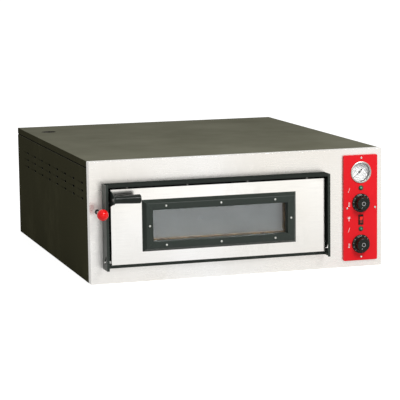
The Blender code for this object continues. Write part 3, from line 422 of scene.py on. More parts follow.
def brushedSteel(name, colour, roughness, warm, stretch=(600, 600, 600), scratchDepth=0.00001, metallic=1.0):
    # bright sheet: fine scratches, a slow drift of tone, and smudges that dull it
    material, tree = newMaterial(name, colour, metallic, roughness)
    marks = groupIn(tree, brushing, Stretch=stretch, Drift=2.2)
    smudges = groupIn(tree, handling, Patch_Scale=6.0, Wipe_Scale=45.0)["Smudges"]
    sheet = toned(tree, marks["Tone"], 0.3, 0.7, colour, warm)
    lines = spread(tree, marks["Scratches"], 0.3, 0.75, 0.0, 0.22)
    lined = blendColours(tree, lines, sheet, shade(colour, 0.62))
    smeared = blendColours(tree, times(tree, smudges, 0.16), lined, shade(warm, 0.72))
    rough = maths(tree, "ADD", spread(tree, smudges, 0.0, 1.0, roughness, roughness + 0.12),
                  spread(tree, marks["Scratches"], 0.3, 0.7, -0.03, 0.05))
    return surface(material, smeared, rough, marks["Scratches"], scratchDepth, 0.6)


steelLook = {"colour": (0.845, 0.84, 0.83), "warm": (0.72, 0.695, 0.64), "front": 0.27, "door": 0.16,
             "satin": (0.83, 0.825, 0.815), "satinWarm": (0.75, 0.715, 0.655), "satinMetal": 0.76,
             "grain": (14, 900, 900)}
panelSteel = brushedSteel("panelSteel", steelLook["satin"], steelLook["front"], steelLook["satinWarm"],
                          steelLook["grain"], 0.000004, steelLook["satinMetal"])
doorSteel = brushedSteel("doorSteel", steelLook["colour"], steelLook["door"], steelLook["warm"],
                         steelLook["grain"])
bezelSteel = brushedSteel("bezelSteel", (0.5, 0.49, 0.465), 0.42, (0.44, 0.43, 0.4), (900, 900, 900))
screwSteel = brushedSteel("screwSteel", (0.56, 0.57, 0.54), 0.32, (0.5, 0.5, 0.47))
pinSteel = brushedSteel("pinSteel", (0.36, 0.36, 0.35), 0.3, (0.3, 0.29, 0.28))
darkSteel = brushedSteel("darkSteel", (0.2, 0.2, 0.195), 0.3, (0.16, 0.15, 0.14))


def chamberSteel():
    # inner sheet discoloured by heat: straw patches, blue at their middle, and baked-on specks
    material, tree = newMaterial("chamberSteel", (0.5, 0.46, 0.4), 1.0, 0.42)
    marks = groupIn(tree, brushing, Stretch=(10, 300, 300), Drift=4.0)
    heat = noiseOf(tree, objectPoint(tree, (1, 0.6, 3)), 5.0, 5.0)
    straw = toned(tree, heat, 0.35, 0.6, (0.5, 0.48, 0.45), (0.42, 0.31, 0.17))
    blued = toned(tree, heat, 0.58, 0.78, straw, (0.2, 0.2, 0.26))
    specks = noiseOf(tree, objectPoint(tree), 240.0, 3.0, 0.7)
    return surface(material, toned(tree, specks, 0.66, 0.74, blued, (0.06, 0.045, 0.03)),
                   spread(tree, marks["Tone"], 0.3, 0.7, 0.34, 0.55), marks["Scratches"], 0.00002)


def galvanisedSheet():
    # zinc crystals of different tone under a dull skin
    material, tree = newMaterial("galvanisedSheet", (0.5, 0.52, 0.53), 0.9, 0.42)
    grey = put(tree, "SeparateXYZ")
    join(tree, cellsOf(tree, objectPoint(tree), 70.0)["Color"], grey.inputs[0])
    bloom = noiseOf(tree, objectPoint(tree), 12.0, 5.0, 0.65)
    tone = blendColours(tree, grey.outputs["X"], (0.38, 0.4, 0.41), (0.62, 0.64, 0.65))
    dulled = blendColours(tree, spread(tree, bloom, 0.5, 0.72, 0.0, 0.5), tone, (0.66, 0.66, 0.64))
    rough = maths(tree, "ADD", spread(tree, grey.outputs["Y"], 0, 1, 0.3, 0.46),
                  spread(tree, bloom, 0.4, 0.7, 0.0, 0.15))
    return surface(material, dulled, rough, grey.outputs["Z"], 0.00002)


# the light tone for faces that look up is part flour dust, part painted sheen
oliveLook = {"paint": (0.052, 0.050, 0.029), "dustAndSheen": (0.222, 0.22, 0.168), "worn": (0.22, 0.21, 0.19),
             # the last colour is painted shade, laid behind the vent slots
             "roughness": 0.5, "ventShade": (0.012, 0.012, 0.008)}


def ventPaintedShade(tree, rows, columns, start, step):
    # painted shade: a faint dark line behind each vent slot, standing for the shade along a shallow pressed
    # louvre; near a row's height, and fading out towards the next slot
    place = put(tree, "SeparateXYZ")
    join(tree, objectPoint(tree), place.inputs[0])
    along = maths(tree, "DIVIDE", maths(tree, "SUBTRACT", place.outputs["Y"], start), step)
    past = maths(tree, "FRACT", along)
    fade = times(tree, spread(tree, past, 0.25, 0.32, smooth=True),
                 spread(tree, past, 0.92, 0.4, smooth=True))
    inside = times(tree, spread(tree, along, 0.0, 0.02), spread(tree, along, columns, columns - 0.02))
    ventShade = 0.0
    for row in rows:
        away = maths(tree, "ABSOLUTE", maths(tree, "SUBTRACT", place.outputs["Z"], row))
        ventShade = maths(tree, "MAXIMUM", ventShade, spread(tree, away, 0.0042, 0.0008, smooth=True))
    broken = spread(tree, noiseOf(tree, objectPoint(tree, (1, 12, 1)), 14.0, 4.0), 0.3, 0.65)
    return times(tree, times(tree, times(tree, ventShade, broken), times(tree, fade, inside)), 0.6)


def olivePaint(name, vented=None):
    # baked dark olive paint: orange peel, dust and painted sheen on top, worn edges, and painted shade
    # streaks behind the vents
    look = oliveLook
    paint, roughness = look["paint"], look["roughness"]
    material, tree = newMaterial(name, paint, 0.0, roughness, Specular_IOR_Level=0.0)
    peel = groupIn(tree, orangePeel, Scale=520.0)
    dustAndSheen = groupIn(tree, settledDustAndSheen, Patch_Scale=4.0, Thickness=0.8)["DustAndSheen"]
    wear = groupIn(tree, edgeWear, Radius=0.0018, Break_Up=140.0)["Wear"]
    smudges = groupIn(tree, handling, Patch_Scale=5.0, Wipe_Scale=30.0)["Smudges"]
    tone = blendColours(tree, smudges, paint, shade(paint, 1.35))
    if vented:
        # painted shade: dark lines behind the vent slots
        tone = blendColours(tree, ventPaintedShade(tree, *vented), tone, look["ventShade"])
    # dust and painted sheen: faces that look up are lightened
    dustedAndSheened = blendColours(tree, dustAndSheen, tone, look["dustAndSheen"])
    speckled = blendColours(tree, times(tree, peel["Specks"], 0.3), dustedAndSheened, shade(paint, 1.8))
    rough = maths(tree, "ADD", spread(tree, dustAndSheen, 0.0, 1.0, roughness, 0.62),
                  spread(tree, smudges, 0.0, 1.0, 0.0, -0.08))
    return surface(material, blendColours(tree, times(tree, wear, 0.35), speckled, look["worn"]), rough,
                   peel["Height"], 0.00005)


def enamel(name, colour, roughness, scale=480.0, worn=(0.2, 0.2, 0.19), wearAmount=0.4, level=0.5):
    # a hard baked coat over steel, chipped at the edges and hazed by wiping
    material, tree = newMaterial(name, colour, 0.0, roughness, Specular_IOR_Level=level)
    peel = groupIn(tree, orangePeel, Scale=scale)
    wear = groupIn(tree, edgeWear, Radius=0.0012, Break_Up=260.0)["Wear"]
    smudges = groupIn(tree, handling, Patch_Scale=9.0, Wipe_Scale=70.0)["Smudges"]
    tone = blendColours(tree, times(tree, smudges, 0.5), colour, shade(colour, 1.25, 0.004))
    return surface(material, blendColours(tree, times(tree, wear, wearAmount), tone, worn),
                   spread(tree, smudges, 0.0, 1.0, roughness, roughness + 0.16), peel["Height"], 0.00003)


def mouldedPlastic(name, colour, roughness, grain=900.0, depth=0.00003, level=0.5):
    # fine moulded texture, smoother in the patches where fingers rub
    material, tree = newMaterial(name, colour, 0.0, roughness, Specular_IOR_Level=level)
    smudges = groupIn(tree, handling, Patch_Scale=25.0, Wipe_Scale=160.0)["Smudges"]
    fine = noiseOf(tree, objectPoint(tree), grain, 2.0, 0.6)
    return surface(material, toned(tree, fine, 0.3, 0.7, shade(colour, 0.9), shade(colour, 1.12, 0.001)),
                   spread(tree, smudges, 0.0, 1.0, roughness, max(0.08, roughness - 0.1)), fine, depth)


def paneGlass(name, tint, smear=0.5, haze=0.015, index=1.5):
    # clear pane with faint wipe marks and a slow drift in its tint
    material, tree = newMaterial(name, tint, 0.0, 0.02, Transmission_Weight=1.0, IOR=index)
    smudges = groupIn(tree, handling, Patch_Scale=8.0, Wipe_Scale=40.0)["Smudges"]
    drift = noiseOf(tree, objectPoint(tree), 6.0, 3.0)
    return surface(material, toned(tree, drift, 0.35, 0.7, tint, shade(tint, 0.93)),
                   spread(tree, smudges, 0.0, 1.0, haze, haze + 0.12 * smear))


def bakedStone():
    # pressed refractory slab: pale grain, open pores, browned patches
    material, tree = newMaterial("bakedStone", (0.55, 0.45, 0.33), 0.0, 0.9)
    place = objectPoint(tree)
    grain = noiseOf(tree, place, 220.0, 6.0, 0.7)
    browned = spread(tree, noiseOf(tree, place, 7.0, 5.0, 0.6), 0.48, 0.72, 0.0, 0.7)
    pore = spread(tree, cellsOf(tree, place, 260.0)["Distance"], 0.22, 0.1)
    base = blendColours(tree, grain, (0.44, 0.35, 0.25), (0.62, 0.53, 0.4))
    baked = blendColours(tree, browned, base, (0.2, 0.13, 0.075))
    return surface(material, blendColours(tree, times(tree, pore, 0.6), baked, (0.12, 0.09, 0.06)), None,
                   maths(tree, "SUBTRACT", grain, pore), 0.0004)


def mineralWool():
    # matted fibres: two stretched noises crossed
    material, tree = newMaterial("mineralWool", (0.62, 0.54, 0.34), 0.0, 1.0)
    first, second = (noiseOf(tree, objectPoint(tree, stretch), 1.0, 4.0, 0.7)
                     for stretch in ((40, 600, 600), (600, 40, 600)))
    matted = maths(tree, "MAXIMUM", first, second)
    return surface(material, toned(tree, matted, 0.4, 0.7, (0.42, 0.36, 0.2), (0.72, 0.66, 0.46)), None,
                   matted, 0.0015)


def paintedShadeSheet():
    # painted shade: near-black with a faint pattern of short pressed fibres, for the dark strips in the slit
    # under the cover and behind the vent slots
    material, tree = newMaterial("paintedShadeSheet", (0.008, 0.008, 0.007), 0.0, 1.0, Specular_IOR_Level=0.0)
    fibres = noiseOf(tree, objectPoint(tree, (900, 900, 2200)), 1.0, 3.0, 0.7)
    return surface(material, blendColours(tree, fibres, (0.004, 0.004, 0.0035), (0.014, 0.014, 0.012)), None,
                   fibres, 0.0003)


def mottled(name, first, second, low, high, scale, detail, breakUp, depth, metallic=0.0, level=0.5,
            rough=(0.6, 0.6)):
    # two tones in cloudy patches; the patches are also bumps, and may change the roughness
    material, tree = newMaterial(name, first, metallic, rough[0], Specular_IOR_Level=level)
    cloud = noiseOf(tree, objectPoint(tree), scale, detail, breakUp)
    roughness = spread(tree, cloud, 0.3, 0.7, *rough) if rough[0] != rough[1] else None
    return surface(material, toned(tree, cloud, low, high, first, second), roughness, cloud, depth)


chamberSheet, zincSheet, slab, wool = chamberSteel(), galvanisedSheet(), bakedStone(), mineralWool()
paintedShadeBlack = paintedShadeSheet()
heater = mottled("heaterSheath", (0.06, 0.055, 0.05), (0.2, 0.17, 0.14), 0.4, 0.7, 60.0, 5.0, 0.7, 0.0001,
                 0.8, rough=(0.4, 0.7))  # oxidised alloy tube
sootySteel = mottled("sootySheet", (0.014, 0.013, 0.012), (0.075, 0.07, 0.064), 0.35, 0.7, 45.0, 5.0, 0.7,
                     0.00015, 0.3, 0.1, (0.85, 0.6))  # blackened by smoke, greyer where wiped
brownedSheet = mottled("brownedSteel", (0.16, 0.105, 0.055), (0.055, 0.036, 0.02), 0.35, 0.65, 35.0, 4.0,
                       0.65, 0.00005, level=0.2)  # tinted by heat, darker where grease has baked on
blackEnamel = enamel("blackEnamel", (0.024, 0.031, 0.026), 0.36, level=0.17)
mattBlack = enamel("mattBlack", (0.024, 0.028, 0.025), 0.75, level=0.0)
redEnamel = enamel("redEnamel", (0.69, 0.009, 0.015), 0.3, 620.0, (0.5, 0.3, 0.28), 0.2, 0.14)
blackPlastic = mouldedPlastic("blackPlastic", (0.014, 0.014, 0.014), 0.38, level=0.3)
glossBlack = mouldedPlastic("glossBlack", (0.007, 0.010, 0.007), 0.2, 600.0, 0.00001, 0.17)
redPlastic = mouldedPlastic("redPlastic", (0.78, 0.003, 0.004), 0.08, 300.0, 0.000002, 0.2)
greenLens = mouldedPlastic("greenLens", (0.03, 0.25, 0.135), 0.14, 300.0, 0.00001)
greenBezel = mouldedPlastic("greenBezel", (0.006, 0.035, 0.02), 0.3, level=0.3)
dialWhite = mouldedPlastic("dialWhite", (0.47, 0.47, 0.465), 0.5, 500.0, 0.00001, 0.1)
shadowGrey = mouldedPlastic("shadowGrey", (0.05, 0.05, 0.05), 0.5, level=0.2)
printedInk = mouldedPlastic("printedInk", (0.3, 0.3, 0.3), 0.6, 1500.0, 0.000004)
printedGrey = mouldedPlastic("printedGrey", (0.3, 0.3, 0.3), 0.5, 1500.0, 0.000004)
printedWhite = mouldedPlastic("printedWhite", (0.7, 0.66, 0.65), 0.5, 1500.0, 0.000004)
ovenGlass = paneGlass("ovenGlass", (0.93, 0.975, 0.985), 0.4, 0.02, 1.62)
bakedGlass = paneGlass("bakedGlass", (0.77, 0.85, 0.86), 0.6, 0.22, 1.62)
instrumentGlass = paneGlass("instrumentGlass", (0.98, 0.98, 0.98), 0.1, 0.01, 1.45)
print("materials built:", len(bpy.data.materials))


sideTop = corners("left_side_panel")[1][2]
vents = {"columns": 8, "rows": 3, "length": 0.030, "height": 0.007, "first": 0.080, "last": 0.158,
         "rowPitch": 0.0248, "belowTop": 0.0755, "lipDepth": 0.004, "shadeSheetBehind": 0.0078,
         "shadeSheetBorder": 0.012, "shadeSheetThick": 0.0005}
bodyFront, bodyBack = corners("front_panel")[0][1], corners("rear_panel")[1][1]
side, _, bodyTop = corners("top_cover")[1]
ventStart, ventEnd = bodyFront + vents["first"], bodyBack - vents["last"]
ventStep = (ventEnd - ventStart - vents["length"]) / (vents["columns"] - 1)
ventRows = [bodyTop - vents["belowTop"] - i * vents["rowPitch"] for i in range(vents["rows"])]

sidePaint = olivePaint("sidePaint", (ventRows, vents["columns"], ventStart, ventStep))
coverPaint = olivePaint("coverPaint")
for node in ("top_cover", "rear_panel"):
    eased(node, coverPaint)
for node in ("left_side_panel", "right_side_panel"):
    eased(node, sidePaint)
eased("front_panel", panelSteel)
for node in ("surround_left", "surround_right", "surround_sill"):
    eased(node, blackEnamel, 0.0009, 0.0003)
eased("surround_top", mattBlack, 0.0009, 0.0003)
eased("base_pan", zincSheet)


def ventLipsAndShadeSheets():
    # each slot's edge turned inwards: a small rolled lip carried round the slot's outline; the matt black
    # lips and a near-black sheet behind the slots are painted shade
    depth, radius, border = vents["lipDepth"], vents["height"] / 2, vents["shadeSheetBorder"]
    roll = np.array([[0.0, 0.0002], [-0.0009, 0.0004], [-0.0014, 0.0011], [-0.0014, depth],
                     [-0.0009, depth], [-0.0009, 0.0014], [-0.0003, 0.0009]])
    shadeSheetOutline = roundedRectangle(ventStart - border, ventEnd + border, ventRows[-1] - border,
                              ventRows[0] + border, 0.008)
    for name, x, inward in (("left", -side, 1.0), ("right", side, -1.0)):
        shapes = []
        for z in ventRows:
            for column in range(vents["columns"]):
                start = ventStart + column * ventStep
                outline = slotOutline(start, start + vents["length"], z, radius + 0.0004)
                path = np.column_stack([np.full(len(outline), x), outline])
                shapes.append(carried(roll * (-inward, 1), path, xAxis * inward))
        # painted shade: the lips are matt black, not the side's paint
        piece("vent_lips_painted_shade_" + name, shapes, mattBlack, "housing")
        # painted shade: a near-black sheet behind each panel's slots hides what lies inside
        behind = x + inward * vents["shadeSheetBehind"]
        sheet = plate(shadeSheetOutline, behind, behind + inward * vents["shadeSheetThick"], yAxis, zAxis, xAxis)
        piece("vent_shade_sheet_" + name, [sheet], paintedShadeBlack, "housing")


def bodyScrews():
    # pan heads along the side panels' top edge and the rear panel's border
    look = {"radius": 0.0044, "height": 0.0022, "sink": 0.0023, "fromFront": (0.095, 0.99), "fromTop": 0.011,
            "rearColumns": 5, "rearInset": 0.03, "rearBorder": 0.012}
    shapes = []
    for out in (-1, 1):
        spots = [(out * (side - look["sink"]), bodyFront + y, sideTop - look["fromTop"])
                 for y in look["fromFront"]]
        shapes += screwsAt(spots, out * xAxis, look)
    piece("side_screws", shapes, darkSteel, "housing")
    reach, border = side - look["rearInset"], look["rearBorder"]
    spots = [(x, bodyBack - 0.0001, z) for x in np.linspace(-reach, reach, look["rearColumns"])
             for z in (border, sideTop - border)]
    piece("rear_screws", screwsAt(spots, yAxis, look), screwSteel, "housing")


def coverGapShade():
    # painted shade: a dark strip in the slit under the cover makes it read as a shadowed gap, one straight
    # length on each painted side
    look = {"setBack": 0.0016, "thick": 0.0012, "below": 0.004, "above": 0.006}
    low, high = sideTop - look["below"], sideTop + look["above"]
    section = np.array([[0.0, low], [look["thick"], low], [look["thick"], high], [0.0, high]])
    x, front, back = side - look["setBack"], bodyFront + 0.004, bodyBack - look["setBack"]
    turns = np.array([[-x, front, 0], [-x, back, 0], [x, back, 0], [x, front, 0]])
    shapes = []
    for start, end, inward in zip(turns[:-1], turns[1:], (xAxis, -yAxis, -xAxis)):
        body = section[:, :1] * inward + section[:, 1:] * zAxis
        shapes.append((np.concatenate([start + body, end + body]), sleeve(4)))
    piece("cover_gap_painted_shade", shapes, paintedShadeBlack, "housing")


ventLipsAndShadeSheets()
bodyScrews()
coverGapShade()
print("outer sheets done")


def doorStuds():
    # four short bolts hang from the surround's top plate, a six-sided nut above a rounded tip
    look = {"x": (-0.377, -0.182, 0.016, 0.215), "behindLip": 0.0105, "plate": 0.0022, "nut": 0.006,
            "tip": 0.0026, "reach": 0.0128}
    nut, tip, reach = look["nut"], look["tip"], look["reach"]
    (_, front, _), (_, _, top) = corners("surround_left")
    nutShapes, tipShapes = [], []
    for x in look["x"]:
        centre = (x, front + look["behindLip"], top - look["plate"])
        profile = [(0, -0.0001), (nut - 0.0005, -0.0001), (nut, -0.0006), (nut, -0.0046),
                   (nut - 0.0005, -0.0052), (0, -0.0052)]
        nutShapes.append(lathe(profile, centre, zAxis, 6))
        profile = [(0, -0.0050), (tip, -0.0050), (tip, 0.0018 - reach), (tip - 0.0004, 0.0007 - reach),
                   (tip - 0.0014, 0.0002 - reach), (0, -reach)]
        tipShapes.append(lathe(profile, centre, zAxis, 20))
    piece("surround_stud_nuts", nutShapes, blackEnamel, "housing")
    piece("surround_stud_tips", tipShapes, darkSteel, "housing")


doorStuds()
print("surround done")


eased("door_outer_panel", doorSteel, 0.0014)
eased("door_inner_panel", doorSteel, 0.0010)
doorLow, doorHigh = corners("door_outer_panel")
frameLow, frameHigh = corners("window_frame")
windowX, _, windowZ = middle("window_frame")


def windowBars():
    # four bars, each its section run between two slanted ends that stop a hair short of the mitre
    look = {"border": 0.032, "bevel": 0.010, "neck": 0.003, "rise": 0.016, "mitreGap": 0.00012,
            "round": 0.0016}
    border, bevel, rise, r = look["border"], look["bevel"], look["rise"], look["round"]
    face, base = frameLow[1], frameLow[1] + rise - 0.0003
    slope = np.array([bevel, -rise]) / np.hypot(bevel, rise)
    knee = np.array([bevel, face])
    back, neck = frameHigh[1], border - look["neck"]
    section = np.array([(0.0, base), (0.0, base - 0.0012), knee - slope * r * 1.4,
                        knee - slope * r * 0.5 + (0.0002, 0.0001), knee + (r * 0.6, 0.00008),
                        (bevel + r * 1.6, face), (border - r, face), (border - 0.4 * r, face + 0.15 * r),
                        (border, face + r), (border, back), (neck, back), (neck, base)])
    inward, depth = section.T
    wide, _, tall = (frameHigh - frameLow) / 2
    shapes = []
    for along, up, halfAlong, halfUp in ((xAxis, zAxis, wide, tall), (xAxis, -zAxis, wide, tall),
                                         (zAxis, xAxis, tall, wide), (zAxis, -xAxis, tall, wide)):
        reach = (halfAlong - inward - look["mitreGap"])[:, None] * along
        body = (windowX, 0, windowZ) + (halfUp - inward)[:, None] * up + depth[:, None] * yAxis
        shapes.append((np.concatenate([body - reach, body + reach]), sleeve(len(section))))
    piece("window_frame_bars", shapes, blackEnamel, "door", "window_frame", 28)


def frameScrews():
    # six along the frame's long sides and one in the middle of each short side
    look = {"radius": 0.0036, "height": 0.0024, "columns": (-0.1795, 0.0, 0.1795), "row": 0.0617,
            "end": 0.233}
    places = [(x, z) for x in look["columns"] for z in (-look["row"], look["row"])]
    places += [(-look["end"], 0), (look["end"], 0)]
    spots = [(windowX + x, frameLow[1] + 0.0001, windowZ + z) for x, z in places]
    piece("window_frame_screws", screwsAt(spots, toViewer, look), screwSteel, "door")


def handle():
    # grip turned about X: its radius swells slowly from the neck to a rounded knuckle at the far end
    look = {"big": 0.0145, "neck": 0.0118, "endScrew": 0.0052, "boltRadius": 0.0042,
            "screwHeight": 0.0024, "boltHeight": 0.0022, "boltsBelowTop": (0.012, 0.043),
            "boltsBehindFace": 0.011}
    low, high = corners("handle_grip")
    _, middleY, middleZ = middle("handle_grip")
    length, big, neck = high[0] - low[0], look["big"], look["neck"]
    t = np.linspace(0, 1, 26)
    swell = neck + (big - 0.0003 - neck) * (3 * t ** 2 - 2 * t ** 3)
    body = np.column_stack([swell, 0.004 + t * (length - 0.010)])
    root = [(0, 0), (neck - 0.0012, 0), (neck - 0.0002, 0.0010), (neck + 0.0004, 0.0025)]
    nose = [(big, length - 0.0045), (big - 0.0006, length - 0.0022), (big - 0.0022, length - 0.0006),
            (big - 0.0045, length), (0.0042, length), (0.0036, length - 0.0010), (0, length - 0.0010)]
    shape = lathe(np.concatenate([root, body, nose]), (low[0], middleY, middleZ), xAxis, 56)
    piece("handle_grip_moulded", [shape], glossBlack, "door", "handle_grip")
    plateFace, boltY = corners("handle_bracket")[0][0] + 0.0001, doorLow[1] + look["boltsBehindFace"]
    screws = [buttonScrew((plateFace, middleY, middleZ), -xAxis, look["endScrew"], look["screwHeight"])]
    screws += [buttonScrew((plateFace, boltY, doorHigh[2] - down), -xAxis, look["boltRadius"],
                           look["boltHeight"]) for down in look["boltsBelowTop"]]
    piece("handle_screws", screws, darkSteel, "door")
    eased("handle_bracket", blackEnamel, 0.0006, 0.0005)


windowBars()
frameScrews()
handle()
print("door done")


def damperBall():
    # ball with a short waist where the rod enters, turned about the rod; a moulding seam rings its middle
    look = {"waist": 0.0058, "seamDepth": 0.004, "seamWidth": 0.0004, "bush": 0.0078, "bushRise": 0.0016}
    centre = middle("damper_ball")
    radius = corners("damper_ball")[1][2] - centre[2]
    a = np.radians(np.linspace(180, 12, 40))
    ball = np.column_stack([radius * np.sin(a), radius * np.cos(a)])
    ball[0] = (0, -radius)
    neck = look["waist"]
    waist = [(neck, radius - 0.0001), (neck - 0.0006, radius + 0.0008), (0.0045, radius + 0.0008),
             (0.0045, radius - 0.006), (0, radius - 0.006)]

    def seam(t, height):
        return 1 - look["seamDepth"] * np.exp(-(height / look["seamWidth"]) ** 2)

    shape = lathe(np.concatenate([ball, waist]), centre, yAxis, 64, seam)
    piece("damper_ball_turned", [shape], redPlastic, "damper", "damper_ball")
    rim, rise = look["bush"], look["bushRise"]
    bush = [(0.0048, rise - 0.0008), (0.0060, rise), (rim - 0.0014, rise), (rim - 0.0002, rise - 0.0008),
            (rim, 0.0002), (rim, -0.0006), (0.0048, -0.0006), (0.0048, rise - 0.0008)]
    shape = lathe(bush, (centre[0], bodyFront - 0.0006, centre[2]), toViewer, 32)
    piece("damper_rod_bush", [shape], blackPlastic, "housing")


def flueRim():
    # a rolled bead round the top of the flue pipe: a small circle carried round the pipe's edge
    look = {"fromSide": 0.0755, "fromBack": 0.185, "pipe": 0.0252, "bead": 0.0007}
    top = corners("flue_duct")[1][2] - 0.0008
    centre = (look["fromSide"] - side, bodyBack - look["fromBack"], top)
    bead = arcPoints((look["pipe"], 0), look["bead"], 0, 360, 11)
    piece("flue_rolled_rim", [lathe(bead, centre, zAxis, 56)], sootySteel, "housing")


damperBall()
flueRim()
print("damper and flue done")


fasciaLow, fasciaHigh = corners("control_fascia")
fasciaFace = fasciaLow[1]
controlX, _, gaugeZ = middle("gauge_case")
eased("control_fascia", redEnamel, 0.0012)


def fasciaScrews():
    # one in the middle of each side of the fascia
    look = {"radius": 0.0036, "height": 0.0024, "fromTop": 0.0095, "fromBase": 0.012, "fromLeft": 0.0125,
            "fromRight": 0.0083, "offControls": 0.0015, "level": 0.194}
    x, y, z = controlX + look["offControls"], fasciaFace + 0.0001, look["level"]
    spots = [(x, y, fasciaHigh[2] - look["fromTop"]), (x, y, fasciaLow[2] + look["fromBase"]),
             (fasciaLow[0] + look["fromLeft"], y, z), (fasciaHigh[0] - look["fromRight"], y, z)]
    piece("fascia_screws", screwsAt(spots, toViewer, look), screwSteel, "housing")


def bar(angle, near, far, width):
    # four corners of a short bar from near to far along the radius at an angle in degrees
    a = radians(angle)
    out, across = np.array([cos(a), sin(a)]), np.array([-sin(a), cos(a)]) * width / 2
    return np.array([out * near - across, out * far - across, out * far + across, out * near + across])


def gauge():
    # dial print a hair proud of the dial: two rings, ticks round three quarters of a turn, and numbers
    z, dialFace = gaugeZ, corners("gauge_dial")[0][1]
    look = {"outer": 0.0268, "second": 0.0256, "start": 225, "sweep": 270, "steps": 25, "ink": 0.00008,
            "longTick": (0.0224, 0.0006), "shortTick": (0.0248, 0.00028), "numberRadius": 0.0186,
            "numberSize": 0.005, "wall": 0.0047}
    shapes = []
    for radius, half in ((look["outer"], 0.0001), (look["second"], 0.00005)):
        x, up = arcPoints((controlX, z), radius, 0, 360 * 95 / 96, 96).T
        path = np.column_stack([x, np.full(96, dialFace), up])
        section = [[-half, 0.0], [half, 0.0], [half, -look["ink"]], [-half, -look["ink"]]]
        shapes.append(carried(section, path, yAxis))
    for step in range(look["steps"] + 1):
        angle = look["start"] - look["sweep"] * step / look["steps"]
        numbered = step % 5 == 0
        inner, width = look["longTick" if numbered else "shortTick"]
        shapes.append(plate(bar(angle, inner, look["outer"], width) + (controlX, z), dialFace,
                            dialFace - look["ink"]))
        if numbered:
            x, y = look["numberRadius"] * cos(radians(angle)), look["numberRadius"] * sin(radians(angle))
            shapes.append(lettering(str(step * 20), look["numberSize"], look["ink"],
                                    (controlX + x, dialFace - look["ink"] / 2, z + y)))
    piece("gauge_dial_print", shapes, printedInk, "housing")
    # painted shade: a dark sleeve lines the inner wall of the bezel's cup
    near = corners("gauge_case")[1][0] - controlX - look["wall"]
    far = near + 0.0002
    liner = [(near, 0.0006), (far, 0.0006), (far, -0.0126), (near, -0.0126), (near, 0.0006)]
    piece("gauge_shade_liner", [lathe(liner, (controlX, fasciaFace, z), toViewer, 64)], shadowGrey, "housing")


def needleParts():
    # a turned disc on the needle's tail balances it
    look = {"tail": 0.0105, "radius": 0.0027, "thick": 0.0007}
    back, radius, thick = look["tail"] / 2 ** 0.5, look["radius"], look["thick"]
    profile = [(0, thick), (radius - 0.0003, thick), (radius, thick - 0.0003), (radius, 0.0), (0, 0)]
    centre = (controlX + back, corners("gauge_needle")[1][1] - 0.0006, gaugeZ + back)
    disc = lathe(profile, centre, toViewer, 24)
    piece("needle_counterweight", [disc], blackPlastic, "needle")


def knobs():
    # skirt and cap, whose radius dips a little at each flute; a ring, a pointer and ticks are printed on them
    look = {"cap": 0.0215, "flutes": 24, "dip": 0.022, "lift": 0.001, "spindle": 0.0195, "ticks": 11,
            "tickWidth": 0.0009, "pointer": 245, "pointerWidth": 0.0013}
    cap, lift, spindle = look["cap"], look["lift"], look["spindle"]
    for name in ("upper", "lower"):
        (_, front, low), (_, _, high) = corners("knob_" + name)
        z, skirt, tall, body = (low + high) / 2, (high - low) / 2, fasciaFace - front, name + "_knob"
        centre = (controlX, fasciaFace, z)
        profile = [(0, tall - 0.0016), (cap * 0.40, tall - 0.0016), (cap * 0.46, tall - 0.0004),
                   (cap * 0.50, tall), (cap - 0.0034, tall), (cap - 0.0018, tall - 0.0004),
                   (cap - 0.0007, tall - 0.0014), (cap - 0.0002, tall - 0.0030), (cap, tall - 0.0050),
                   (cap + 0.0004, tall * 0.62), (cap + 0.0008, tall * 0.36), (cap + 0.0013, 0.0078),
                   (cap + 0.0022, 0.0064), (cap + 0.0040, 0.0056), (skirt - 0.0020, 0.0044),
                   (skirt - 0.0006, 0.0038), (skirt, 0.0028), (skirt, lift), (0.003, lift),
                   (0.003, -spindle), (0, -spindle)]

        def flutes(t, height):
            on = (height > 0.0085) & (height < tall - 0.0012)
            return 1 - look["dip"] * on * (0.5 + 0.5 * np.cos(look["flutes"] * t)) ** 2

        def mark(angle, near, far, width, back, front):
            return plate(bar(angle, near, far, width) + (controlX, z), fasciaFace - back, fasciaFace - front)

        piece("knob_%s_moulded" % name, [lathe(profile, centre, toViewer, 144, flutes)], glossBlack, body,
              "knob_" + name)
        inner, outer, face, floor = cap * 0.22, cap * 0.31, tall - 0.0010, tall - 0.0018
        ring = [(inner, face), (outer, face), (outer, floor), (inner, floor), (inner, face)]
        piece("knob_%s_ring" % name, [lathe(ring, centre, toViewer, 40)], printedGrey, body)
        ticks = [mark(angle, skirt - 0.0044, skirt - 0.0022, look["tickWidth"], 0.0040, 0.0058)
                 for angle in np.linspace(225, -45, look["ticks"])]
        piece("knob_%s_ticks" % name, ticks, printedWhite, body)
        pointer = mark(look["pointer"], cap * 0.52, cap * 0.80, look["pointerWidth"], tall - 0.0004,
                       tall + 0.00004)
        piece("knob_%s_pointer" % name, [pointer], printedGrey, body)


